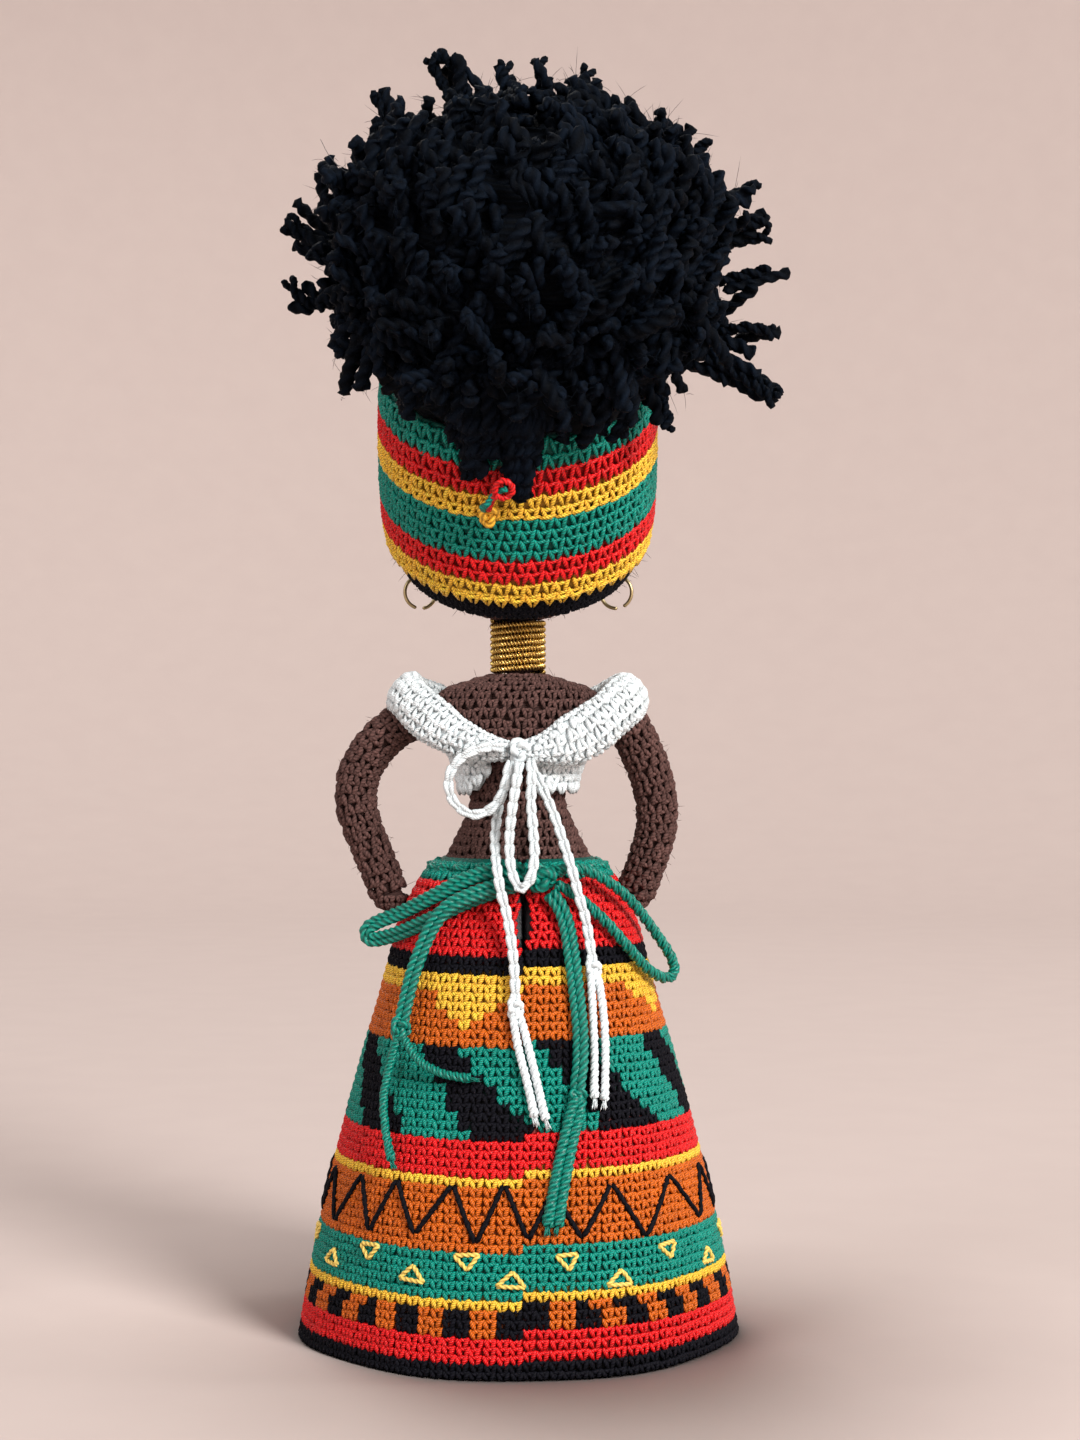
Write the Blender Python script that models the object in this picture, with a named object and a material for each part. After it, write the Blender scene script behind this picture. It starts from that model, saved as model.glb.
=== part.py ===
"""A crocheted yarn doll about 19 cm tall, in metres, +Z up, its face towards +Y.

Stuffed brown body with arms and legs, a striped headband that leans back with a pompom of cut yarn
coming out of it, a neck wound with gold thread, ring earrings, a white top tied at the back and a
bell-shaped skirt with a drawstring. Every piece hangs from one empty on the doll's own upright axis.
"""

import math

import bmesh
import bpy
import numpy as np
from mathutils import Matrix, Vector

# Fits
SEAT_GAP = 0.0003
OVERRUN = 0.002

# Skirt
HEM_RADIUS = 0.0323
SKIRT_HEIGHT = 0.0705
SKIRT_WALL = 0.0012
SKIRT_WAVE = 0.0004
SLIT_WIDTH = 0.0009
SLIT_LENGTH = 0.0128
SLIT_SIDE = 0.0010

# Body, stacked up and down from the skirt's waist
HIP_DROP = 0.0045
CROTCH_DROP = 0.0070
CROTCH_ROUND = 0.0004
HIP_HALF_WIDTH = 0.0122
HIP_HALF_DEPTH = 0.0098
WAIST_RISE = 0.0085
WAIST_HALF_WIDTH = 0.0065
WAIST_HALF_DEPTH = 0.0056
CHEST_RISE = 0.0123
SHOULDER_HALF_WIDTH = 0.0121
CHEST_HALF_DEPTH = 0.0070
SHOULDER_SLOPE = 0.0061
NECK_LENGTH = 0.0096
NECK_RADIUS = 0.0031
STICK_RADIUS = 0.0010
STICK_DEPTH = 0.0230
STICK_REACH = 0.0210
HIP_HEIGHT = SKIRT_HEIGHT - HIP_DROP
CROTCH_HEIGHT = HIP_HEIGHT - CROTCH_DROP
WAIST_HEIGHT = SKIRT_HEIGHT + WAIST_RISE
SHOULDER_HEIGHT = WAIST_HEIGHT + CHEST_RISE
NECK_FOOT = SHOULDER_HEIGHT + SHOULDER_SLOPE
NECK_TOP = NECK_FOOT + NECK_LENGTH
STICK_FOOT = NECK_TOP - STICK_DEPTH
STICK_TOP = NECK_TOP + STICK_REACH

# Arms
ARM_RADIUS = 0.0026
WRIST_RADIUS = 0.0024
HAND_DROP = 0.0058
ELBOW_OUT = {"left": 0.0118, "right": 0.0083}
HAND_FORWARD = {"left": 0.0012, "right": 0.0028}
WIRE_RADIUS = 0.0005
PIN_LENGTH = 0.0050
ARM_GAP = 0.0005

# Legs
LEG_SPREAD = 0.0057
FOOT_SPREAD = 0.0044
THIGH_RADIUS = 0.0051
ANKLE_RADIUS = 0.0028
FOOT_HALF_LENGTH = 0.0048

# Head and hair
HEAD_RADIUS = 0.0186
NECK_SINK = 0.0016
HEAD_HEIGHT = NECK_TOP + HEAD_RADIUS - NECK_SINK
NOSE_RADIUS = 0.0012
HEAD_LEAN = math.radians(36)
BAND_RADIUS = 0.0203
BAND_WALL = 0.0012
BAND_LOW = -0.0058
BAND_HIGH = 0.0214
NAPE_THICKNESS = 0.0008
HAIR_RADIUS = 0.0300
HAIR_HEIGHT = 0.0438
HAIR_LOCK_DROP = 0.0082
HAIR_LOCK_THICKNESS = 0.0022
HAIR_LOCK_TURN = math.radians(266)
HAIR_LOCK_HALF_TURN = math.radians(27)
TUFTS = 15
TUFT_ROWS = 3

# Neck winding
GOLD_RADIUS = 0.00029
GOLD_PITCH = 0.00102
GOLD_TURNS = 6.6
GOLD_STEPS = 24

# Earrings
RING_RADIUS = 0.00245
RING_WIRE = 0.00028
STITCH_WIRE = 0.00035
RING_SEAT = 0.0008

# White top
BODICE_DROP = 0.0031
BODICE_DEPTH = 0.0077
BODICE_WALL = 0.0010
BODICE_HIGH = SHOULDER_HEIGHT - BODICE_DROP
BODICE_LOW = BODICE_HIGH - BODICE_DEPTH
COLLAR_HALF_SPAN = 0.0170
COLLAR_HALF_WIDTH = 0.0032
COLLAR_SIDE_HALF_WIDTH = 0.0025
COLLAR_HALF_THICKNESS = 0.0012
COLLAR_BACK_DROP = 0.0049
COLLAR_FRONT_DROP = 0.0028
COLLAR_SIDE_RISE = 0.0047
COLLAR_BACK_DEPTH = 0.0094
COLLAR_FRONT_DEPTH = 0.0100
COLLAR_END = 0.0026

# Cords
WHITE_CORD = 0.0014
GREEN_CORD = 0.0014
THREAD = 0.0009


def clear_scene():
    """Empty the startup scene."""
    for obj in list(bpy.data.objects):
        bpy.data.objects.remove(obj)


def material(name, colour, roughness, metallic=0.0):
    """One Principled material with a plain colour."""
    made = bpy.data.materials.new(name)
    made.use_nodes = True
    shader = made.node_tree.nodes["Principled BSDF"]
    shader.inputs["Base Color"].default_value = (*colour, 1.0)
    shader.inputs["Roughness"].default_value = roughness
    shader.inputs["Metallic"].default_value = metallic
    made.diffuse_color = (*colour, 1.0)
    return made


def empty(name, place, parent=None, lean=0.0):
    """An empty that carries pieces: the doll's axis, or the leaning axis of the headband."""
    made = bpy.data.objects.new(name, None)
    made.location = place
    made.rotation_euler = (lean, 0, 0)
    made.parent = parent
    bpy.context.scene.collection.objects.link(made)
    return made


def mesh_object(name, points, faces, look, parent, place=(0, 0, 0)):
    """A smooth mesh object from points in its own frame, faces turned outwards."""
    mesh = bpy.data.meshes.new(name)
    mesh.from_pydata([tuple(point) for point in points], [], faces)
    work = bmesh.new()
    work.from_mesh(mesh)
    bmesh.ops.recalc_face_normals(work, faces=work.faces)
    work.to_mesh(mesh)
    work.free()
    mesh.shade_smooth()
    mesh.set_sharp_from_angle(angle=math.radians(50))
    mesh.materials.append(look)
    made = bpy.data.objects.new(name, mesh)
    made.location = place
    made.parent = parent
    bpy.context.scene.collection.objects.link(made)
    return made


def skin(rings, wrap=False):
    """Points and faces over a row of equal rings: each end closes, or the last ring joins the first."""
    sides = len(rings[0])
    points = [point for ring in rings for point in ring]
    faces = []
    for row in range(len(rings) if wrap else len(rings) - 1):
        low = row * sides
        high = (row + 1) % len(rings) * sides
        for side in range(sides):
            after = (side + 1) % sides
            faces.append((low + side, low + after, high + after, high + side))
    if not wrap:
        faces.append(tuple(range(sides))[::-1])
        faces.append(tuple((len(rings) - 1) * sides + side for side in range(sides)))
    return points, faces


def oval(height, half_width, half_depth, sides, shift=(0, 0)):
    """A level ring: x = half width times cosine, y = half depth times sine, about a shifted centre."""
    turn = 2 * math.pi / sides
    return [
        Vector((
            shift[0] + half_width * math.cos(turn * side),
            shift[1] + half_depth * math.sin(turn * side),
            height,
        ))
        for side in range(sides)
    ]


def smooth_rows(rows, steps):
    """Rows read from a smooth Catmull-Rom curve through the given rows, with some steps between each two."""
    rows = np.array(rows, float)
    padded = np.vstack([2 * rows[0] - rows[1], rows, 2 * rows[-1] - rows[-2]])
    found = []
    for index in range(len(rows) - 1):
        before, start, end, after = padded[index:index + 4]
        for step in range(steps):
            t = step / steps
            found.append(
                ((-t + 2 * t ** 2 - t ** 3) * before + (2 - 5 * t ** 2 + 3 * t ** 3) * start
                 + (t + 4 * t ** 2 - 3 * t ** 3) * end + (t ** 3 - t ** 2) * after) / 2
            )
    found.append(rows[-1])
    return np.array(found)


def cord(name, route, diameter, look, parent):
    """A round cord along a smooth curve through its route, with a point about every 2 diameters."""
    fine = smooth_rows(route, 12)
    along = np.concatenate([[0], np.cumsum(np.linalg.norm(np.diff(fine, axis=0), axis=1))])
    count = max(3, int(round(along[-1] / (2 * diameter))) + 1)
    even = np.linspace(0, along[-1], count)
    places = np.column_stack([np.interp(even, along, fine[:, axis]) for axis in range(3)])
    return tube(name, places, diameter / 2, look, parent, 2)


def tube(name, places, radius, look, parent, resolution, place=(0, 0, 0)):
    """A round tube with filled ends through every given place."""
    curve = bpy.data.curves.new(name, "CURVE")
    curve.dimensions = "3D"
    curve.bevel_depth = radius
    curve.bevel_resolution = resolution
    curve.use_fill_caps = True
    line = curve.splines.new("POLY")
    line.points.add(len(places) - 1)
    for point, at in zip(line.points, places):
        point.co = (*at, 1)
    curve.materials.append(look)
    made = bpy.data.objects.new(name, curve)
    made.location = place
    made.parent = parent
    bpy.context.scene.collection.objects.link(made)
    return made


def ball(name, centre, radii, look, parent, sides=12, rings=8):
    """An ellipsoid with the given half sizes."""
    work = bmesh.new()
    bmesh.ops.create_uvsphere(work, u_segments=sides, v_segments=rings, radius=1)
    bmesh.ops.scale(work, vec=radii, verts=work.verts)
    mesh = bpy.data.meshes.new(name)
    work.to_mesh(mesh)
    work.free()
    mesh.shade_smooth()
    mesh.materials.append(look)
    made = bpy.data.objects.new(name, mesh)
    made.location = centre
    made.parent = parent
    bpy.context.scene.collection.objects.link(made)
    return made


def cut(target, cutter):
    """Take the cutter's space out of the target."""
    cutter.hide_render = True
    cutter.display_type = "WIRE"
    made = target.modifiers.new("Cut " + cutter.name, "BOOLEAN")
    made.operation = "DIFFERENCE"
    made.solver = "EXACT"
    made.object = cutter


def rod_cutter(name, start, end, radius, parent, sides=12):
    """A round cutter between two places."""
    start = Vector(start)
    end = Vector(end)
    work = bmesh.new()
    bmesh.ops.create_cone(
        work, cap_ends=True, segments=sides, radius1=radius, radius2=radius, depth=(end - start).length
    )
    turn = Vector((0, 0, 1)).rotation_difference(end - start).to_matrix().to_4x4()
    work.transform(Matrix.Translation((start + end) / 2) @ turn)
    mesh = bpy.data.meshes.new(name)
    work.to_mesh(mesh)
    work.free()
    made = bpy.data.objects.new(name, mesh)
    made.parent = parent
    bpy.context.scene.collection.objects.link(made)
    return made


# Skirt: a bell whose sides are straight below and draw in to an oval waist
SKIRT_SHARES = (
    (0, 1), (0.113, 0.96), (0.227, 0.91), (0.369, 0.836), (0.482, 0.774), (0.596, 0.706),
    (0.695, 0.641), (0.794, 0.585), (0.851, 0.554), (0.908, 0.50), (0.955, 0.445), (1, 0.36),
)
WAIST_FLATTEN_SHARE = 0.16
FLATTEN_START_SHARE = 0.70


def skirt_half_width(height):
    """The skirt's outer half width at a height, from its profile."""
    heights, radii = zip(*SKIRT_SHARES)
    return HEM_RADIUS * float(np.interp(height / SKIRT_HEIGHT, heights, radii))


def skirt_half_depth(height):
    """The half depth: round below, and flatter towards the waist by a smooth step."""
    t = min(max((height / SKIRT_HEIGHT - FLATTEN_START_SHARE) / (1 - FLATTEN_START_SHARE), 0), 1)
    return skirt_half_width(height) * (1 - WAIST_FLATTEN_SHARE * t * t * (3 - 2 * t))


def skirt_ring(height, inset, sides=36):
    """One ring of the bell, with seven shallow waves that fade out upwards."""
    wave = SKIRT_WAVE * (1 - height / SKIRT_HEIGHT) ** 2
    ring = oval(height, skirt_half_width(height) - inset, skirt_half_depth(height) - inset, sides)
    for side, point in enumerate(ring):
        swing = 2 * math.pi * side / sides
        swell = 1 + wave / HEM_RADIUS * math.cos(7 * swing + 1)
        point.x *= swell
        point.y *= swell
    return ring


def make_skirt(doll, look):
    """The hollow bell, flat at the hem, with the slit that lets it over the shoulders."""
    heights = [share * SKIRT_HEIGHT for share, _ in SKIRT_SHARES]
    outer = [skirt_ring(height, 0) for height in heights]
    inner = [skirt_ring(height, SKIRT_WALL) for height in reversed(heights)]
    skirt = mesh_object("skirt", *skin(outer + inner, wrap=True), look, doll)
    work = bmesh.new()
    bmesh.ops.create_cube(work, size=1)
    slit_top = SKIRT_HEIGHT + OVERRUN
    slit_low = SKIRT_HEIGHT - SLIT_LENGTH
    bmesh.ops.scale(work, vec=(SLIT_WIDTH, HEM_RADIUS, slit_top - slit_low), verts=work.verts)
    mesh = bpy.data.meshes.new("slit_cutter")
    work.to_mesh(mesh)
    work.free()
    slit = bpy.data.objects.new("slit_cutter", mesh)
    slit.location = (SLIT_SIDE, -HEM_RADIUS / 2, (slit_top + slit_low) / 2)
    slit.parent = doll
    bpy.context.scene.collection.objects.link(slit)
    cut(skirt, slit)
    return skirt


# Body: shares of a rise, then of the half width and the half depth
HIP_SHARES = ((0, 0.45), (0.16, 0.76), (0.5, 0.95), (1, 1))
CHEST_SHARES = ((0.55, 0.72, 0.93), (1, 1, 1))
SLOPE_SHARES = ((0.55, 0.93, 0.83), (0.80, 0.62, 0.66))
CROTCH_SHARE = 0.15


def torso_rows():
    """Rows of height, half width and half depth, the hips fitted inside the skirt's waist."""
    seat_width = skirt_half_width(SKIRT_HEIGHT) - SKIRT_WALL - SEAT_GAP
    seat_depth = skirt_half_depth(SKIRT_HEIGHT) - SKIRT_WALL - SEAT_GAP
    rows = [
        (CROTCH_HEIGHT + rise * CROTCH_DROP, share * HIP_HALF_WIDTH, share * HIP_HALF_DEPTH)
        for rise, share in HIP_SHARES
    ]
    rows.append((SKIRT_HEIGHT, seat_width, seat_depth))
    rows.append((WAIST_HEIGHT, WAIST_HALF_WIDTH, WAIST_HALF_DEPTH))
    rows += [
        (WAIST_HEIGHT + rise * CHEST_RISE, wide * SHOULDER_HALF_WIDTH, deep * CHEST_HALF_DEPTH)
        for rise, wide, deep in CHEST_SHARES
    ]
    rows += [
        (SHOULDER_HEIGHT + rise * SHOULDER_SLOPE, wide * SHOULDER_HALF_WIDTH, deep * CHEST_HALF_DEPTH)
        for rise, wide, deep in SLOPE_SHARES
    ]
    rows.append((NECK_FOOT, NECK_RADIUS, NECK_RADIUS))
    rows.append((NECK_TOP, NECK_RADIUS, NECK_RADIUS))
    return rows


def torso_rings(grow, sides=20):
    """Smooth rings over the rows, each grown outwards, the straight neck left straight."""
    body = smooth_rows(torso_rows()[:-1], 2)
    low = CROTCH_HEIGHT - CROTCH_ROUND - grow
    rings = [oval(low, CROTCH_SHARE * HIP_HALF_WIDTH + grow, CROTCH_SHARE * HIP_HALF_DEPTH + grow, sides)]
    rings += [oval(h, w + grow, d + grow, sides) for h, w, d in body]
    rings.append(oval(NECK_TOP, NECK_RADIUS + grow, NECK_RADIUS + grow, sides))
    return rings


def make_torso(doll, look):
    """The stuffed body, bored for the neck's stick and for the ends of the arm wires."""
    torso = mesh_object("torso", *skin(torso_rings(0)), look, doll)
    bore = STICK_RADIUS + SEAT_GAP
    cut(torso, rod_cutter(
        "neck_bore", (0, 0, STICK_FOOT - SEAT_GAP), (0, 0, NECK_TOP + OVERRUN), bore, doll
    ))
    for side in (-1, 1):
        inner = side * (SHOULDER_HALF_WIDTH - PIN_LENGTH - SEAT_GAP)
        outer = side * (SHOULDER_HALF_WIDTH + OVERRUN)
        cut(torso, rod_cutter(
            "shoulder_bore", (inner, 0, SHOULDER_HEIGHT), (outer, 0, SHOULDER_HEIGHT),
            WIRE_RADIUS + SEAT_GAP, doll, 8,
        ))
    return torso


def make_neck(doll, wood, gold):
    """The stick from the chest into the head, and the gold thread wound round the neck."""
    tube("neck_stick", [(0, 0, STICK_FOOT), (0, 0, STICK_TOP)], STICK_RADIUS, wood, doll, 2)
    reach = NECK_RADIUS + SEAT_GAP + GOLD_RADIUS
    count = int(round(GOLD_STEPS * GOLD_TURNS))
    places = []
    for step in range(count + 1):
        angle = 2 * math.pi * step / GOLD_STEPS
        climb = NECK_FOOT + 2 * SEAT_GAP + GOLD_RADIUS + GOLD_PITCH * step / GOLD_STEPS
        places.append((reach * math.cos(angle), reach * math.sin(angle), climb))
    tube("neck_winding", places, GOLD_RADIUS, gold, doll, 1)
    points = np.array(places)
    gaps = np.linalg.norm(points[:, None] - points[None], axis=2)
    near = np.abs(np.subtract.outer(np.arange(len(points)), np.arange(len(points)))) < GOLD_STEPS / 2
    least = gaps[~near].min() - 2 * GOLD_RADIUS
    print(f"neck winding: least gap between turns {1000 * least:.2f} mm")


# Arms: how far out, forwards and down each place lies, as shares, from the shoulder to the hand on the hip
ARM_SHARES = {
    "left": (
        (0, 0, 0), (0.24, 0, 0.004), (0.51, 0.17, 0.064), (0.76, 0.42, 0.170), (0.95, 0.67, 0.312),
        (1, 0.83, 0.451), (0.96, 0.92, 0.564), (0.84, 1, 0.707), (0.70, 1, 0.857), (0.57, 0.92, 1),
    ),
    "right": (
        (0, 0, 0), (0.29, 0, 0.004), (0.53, 0.14, 0.075), (0.72, 0.32, 0.196), (0.92, 0.50, 0.358),
        (1, 0.64, 0.521), (0.98, 0.75, 0.649), (0.86, 0.86, 0.785), (0.72, 0.93, 0.906), (0.60, 1, 1),
    ),
}
ARM_SWELL_SHARE = 0.06
SHOULDER_SHARE = 0.85
FINGERTIP_SHARE = 0.62
BORE_SHARE = 0.84


def path_frames(route):
    """Each place of a route with two directions square to it, one of them close to +Y."""
    ahead = np.gradient(route, axis=0)
    ahead /= np.linalg.norm(ahead, axis=1)[:, None]
    level = np.array([0.0, 1.0, 0.0]) - ahead * ahead[:, 1:2]
    level /= np.linalg.norm(level, axis=1)[:, None]
    return level, np.cross(ahead, level)


def round_ring(centre, level, cross, radius, sides):
    """A ring of a bent limb, square to its route."""
    turn = 2 * math.pi / sides
    return [
        Vector(centre + radius * (math.cos(turn * side) * level + math.sin(turn * side) * cross))
        for side in range(sides)
    ]


def make_arm(name, doll, look, metal, sides=10):
    """A stuffed arm about its shoulder, swelling at the elbow, bored for the wire that keeps its bend."""
    side = -1 if name == "left" else 1
    shoulder = (side * (SHOULDER_HALF_WIDTH + ARM_GAP), 0, SHOULDER_HEIGHT)
    drop = SHOULDER_HEIGHT - SKIRT_HEIGHT + HAND_DROP
    route = smooth_rows(np.array(ARM_SHARES[name]) * (side * ELBOW_OUT[name], HAND_FORWARD[name], -drop), 2)
    level, cross = path_frames(route)
    level[0], cross[0] = (0, 1, 0), np.cross((side, 0, 0), (0, 1, 0))
    last = len(route) - 1
    rings = []
    for index in range(last + 1):
        share = index / last
        thick = ARM_RADIUS + (WRIST_RADIUS - ARM_RADIUS) * share
        thick *= 1 + ARM_SWELL_SHARE * math.sin(math.pi * min(share / 0.8, 1))
        if index == 0:
            thick *= SHOULDER_SHARE
        rings.append(round_ring(route[index], level[index], cross[index], thick, sides))
    tip = route[last] + (route[last] - route[last - 1]) * 0.5
    rings.append(round_ring(tip, level[last], cross[last], FINGERTIP_SHARE * WRIST_RADIUS, sides))
    bore_last = int(BORE_SHARE * last)
    bores = [
        round_ring(route[index], level[index], cross[index], WIRE_RADIUS + SEAT_GAP, sides)
        for index in range(bore_last, -1, -1)
    ]
    points, faces = skin(rings + bores, wrap=True)
    outer_end = (len(rings) - 1) * sides
    bore_end = len(rings) * sides
    faces = [face for face in faces if not (min(face) >= outer_end and max(face) < bore_end + sides)]
    faces.append(tuple(outer_end + index for index in range(sides)))
    faces.append(tuple(bore_end + index for index in range(sides)))
    mesh_object(f"arm_{name}", points, faces, look, doll, shoulder)
    pin = [(-side * (PIN_LENGTH + ARM_GAP), 0, 0)]
    wire = [tuple(place) for place in route[:bore_last]]
    tube(f"arm_wire_{name}", pin + wire, WIRE_RADIUS, metal, doll, 1, shoulder)


def make_leg(name, doll, look, sides=10):
    """A stuffed leg, thick at the thigh, with a flat-soled foot pointing forwards."""
    side = -1 if name == "left" else 1
    rise = CROTCH_HEIGHT
    rows = smooth_rows([
        (0, 0.94 * ANKLE_RADIUS, 0.93 * FOOT_HALF_LENGTH, 0.42 * FOOT_HALF_LENGTH),
        (0.025 * rise, 1.04 * ANKLE_RADIUS, FOOT_HALF_LENGTH, 0.44 * FOOT_HALF_LENGTH),
        (0.060 * rise, ANKLE_RADIUS, 0.84 * FOOT_HALF_LENGTH, 0.28 * FOOT_HALF_LENGTH),
        (0.105 * rise, 0.96 * ANKLE_RADIUS, 1.04 * ANKLE_RADIUS, 0),
        (0.34 * rise, 1.25 * ANKLE_RADIUS, 1.28 * ANKLE_RADIUS, 0),
        (0.55 * rise, 1.15 * ANKLE_RADIUS, 1.18 * ANKLE_RADIUS, 0),
        (0.80 * rise, 0.93 * THIGH_RADIUS, 0.96 * THIGH_RADIUS, 0),
        (rise, THIGH_RADIUS, 1.05 * THIGH_RADIUS, 0),
        (1.05 * rise, 0.9 * THIGH_RADIUS, 0.95 * THIGH_RADIUS, 0),
    ], 2)
    rings = []
    for height, half_width, half_depth, shift in rows:
        lean = FOOT_SPREAD + (LEG_SPREAD - FOOT_SPREAD) * height / rise
        rings.append(oval(height, half_width, half_depth, sides, (side * lean, shift)))
    leg = mesh_object(f"leg_{name}", *skin(rings), look, doll)
    shape = mesh_object(f"leg_{name}_cutter", *skin(torso_rings(1.5 * SEAT_GAP)), look, doll)
    cut(leg, shape)


# Head and hair, about the leaning axis of the headband
BAND_SHARES = ((0, 0.965), (0.14, 0.992), (0.36, 1), (0.65, 0.995), (0.88, 0.98), (1, 0.955))
HAIR_SHARES = (
    (0.09, 0.82), (0.20, 0.93), (0.36, 0.99), (0.54, 1), (0.70, 0.93),
    (0.84, 0.77), (0.93, 0.56), (0.98, 0.30),
)
HAIR_LOCK_SHARES = ((0, 0), (0.5, 0.05), (1, 0.12), (0.94, 1))
TUFT_SHARE = 0.065
LUMP_SHARE = 0.03
BAND_KNOT_SHARE = (-0.185, 0.59)
HAIR_SEAT_SHARES = (0.62, 0.85, 1.0)
NOSE_DROP = math.radians(12)
NAPE_TOP = math.radians(109.5)
NAPE_LOW = math.radians(125)
NAPE_HALF_TURN = math.radians(95)


def make_head(doll, leaning, brown, black):
    """The stuffed ball, socketed for the neck and bored for its stick, with the nose and the nape."""
    head = ball(
        "head", (0, 0, HEAD_HEIGHT), (HEAD_RADIUS, HEAD_RADIUS, HEAD_RADIUS), brown, doll, 24, 14
    )
    low = HEAD_HEIGHT - HEAD_RADIUS - OVERRUN
    cut(head, rod_cutter(
        "neck_socket", (0, 0, low), (0, 0, NECK_TOP + SEAT_GAP), NECK_RADIUS + SEAT_GAP, doll, 20
    ))
    cut(head, rod_cutter(
        "head_bore", (0, 0, low), (0, 0, STICK_TOP + SEAT_GAP), STICK_RADIUS + SEAT_GAP, doll
    ))
    reach = HEAD_RADIUS + 0.5 * NOSE_RADIUS + SEAT_GAP
    ball(
        "nose", (0, reach * math.cos(NOSE_DROP), HEAD_HEIGHT - reach * math.sin(NOSE_DROP)),
        (NOSE_RADIUS, 0.5 * NOSE_RADIUS, 0.8 * NOSE_RADIUS), brown, doll, 10, 6,
    )
    rings = []
    inner = HEAD_RADIUS + SEAT_GAP
    outer = inner + NAPE_THICKNESS
    for step in range(19):
        turn = NAPE_HALF_TURN * (step / 9 - 1)
        ring = []
        for radius, angle in ((inner, NAPE_TOP), (outer, NAPE_TOP), (outer, (NAPE_TOP + NAPE_LOW) / 2),
                              (outer, NAPE_LOW), (inner, NAPE_LOW), (inner, (NAPE_TOP + NAPE_LOW) / 2)):
            flat = radius * math.sin(angle)
            ring.append(Vector((flat * math.sin(turn), -flat * math.cos(turn), radius * math.cos(angle))))
        rings.append(ring)
    mesh_object("nape_hair", *skin(rings), black, leaning)


def band_radius(height):
    """The headband's outer radius at a height along its axis."""
    shares, radii = zip(*BAND_SHARES)
    return BAND_RADIUS * float(np.interp((height - BAND_LOW) / (BAND_HIGH - BAND_LOW), shares, radii))


def make_headband(leaning, look, knot_look, sides=36):
    """The stiff striped tube, and the knot of yarn that closes its round at the back."""
    heights = [BAND_LOW + share * (BAND_HIGH - BAND_LOW) for share, _ in BAND_SHARES]
    radii = [band_radius(height) for height in heights]
    outer = [oval(height, radius, radius, sides) for height, radius in zip(heights, radii)]
    inner = [
        oval(height, radius - BAND_WALL, radius - BAND_WALL, sides) for height, radius in zip(heights, radii)
    ]
    mesh_object("headband", *skin(outer + inner[::-1], wrap=True), look, leaning)
    knot = 0.75 * BAND_WALL
    side = BAND_KNOT_SHARE[0] * BAND_RADIUS
    height = BAND_LOW + BAND_KNOT_SHARE[1] * (BAND_HIGH - BAND_LOW)
    out = math.sqrt((band_radius(height) + SEAT_GAP + 1.05 * knot) ** 2 - side ** 2)
    ball("headband_knot", (side, -out, height), (knot, knot, 1.3 * knot), knot_look, leaning)


def lock_drop(swing):
    """How far the hair hangs over the band at a turn: a lock at the back that fades out to both sides."""
    return HAIR_LOCK_DROP * math.exp(-((swing - HAIR_LOCK_TURN) / HAIR_LOCK_HALF_TURN) ** 2)


def make_hair(leaning, look, sides=60):
    """The yarn bundle: seated on the head inside the band, over its rim, then a pompom of tufts."""
    step = math.radians(12)
    seat = (HEAD_RADIUS + SEAT_GAP) / math.cos(step / 2)
    rings = [
        oval(seat * math.cos(step * turn), seat * math.sin(step * turn), seat * math.sin(step * turn), sides)
        for turn in (0.25, 1, 2, 3, 4, 5)
    ]
    for share in HAIR_SEAT_SHARES:
        height = BAND_LOW + share * (BAND_HIGH - BAND_LOW)
        radius = band_radius(height) - BAND_WALL - 1.5 * SEAT_GAP
        rings.append(oval(height, radius, radius, sides))
    turns = [2 * math.pi * side / sides for side in range(sides)]
    rim = BAND_HIGH + 3 * SEAT_GAP
    for fall, thick in HAIR_LOCK_SHARES:
        ring = []
        for swing in turns:
            height = rim - fall * (lock_drop(swing) + SEAT_GAP)
            radius = band_radius(min(height, BAND_HIGH)) + 2 * SEAT_GAP + thick * HAIR_LOCK_THICKNESS
            ring.append(Vector((radius * math.cos(swing), radius * math.sin(swing), height)))
        rings.append(ring)
    for index, (height, radius) in enumerate(smooth_rows(HAIR_SHARES, 2)):
        tuft = TUFT_SHARE * math.sin(math.pi * (index % TUFT_ROWS + 0.5) / TUFT_ROWS)
        tier = math.pi * (index // TUFT_ROWS)
        ring = []
        for swing in turns:
            lump = 1 + LUMP_SHARE * math.sin(5 * swing + 0.8 * index) + tuft * math.cos(TUFTS * swing + tier)
            reach = HAIR_RADIUS * radius * lump
            rise = BAND_HIGH + height * HAIR_HEIGHT
            ring.append(Vector((reach * math.cos(swing), reach * math.sin(swing), rise)))
        rings.append(ring)
    return mesh_object("hair_puff", *skin(rings), look, leaning)


# Earrings: each hangs from a yarn stitch on the side of the head, a little forward and below
EAR_SHARE = (0.758, 0.320, -0.568)
RING_TURN = math.radians(18)
RING_START = {"left": math.radians(-84), "right": math.radians(-64)}
RING_STEP = math.radians(17)
STITCH_START = math.radians(15)
STITCH_STEP = math.radians(25)


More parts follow.
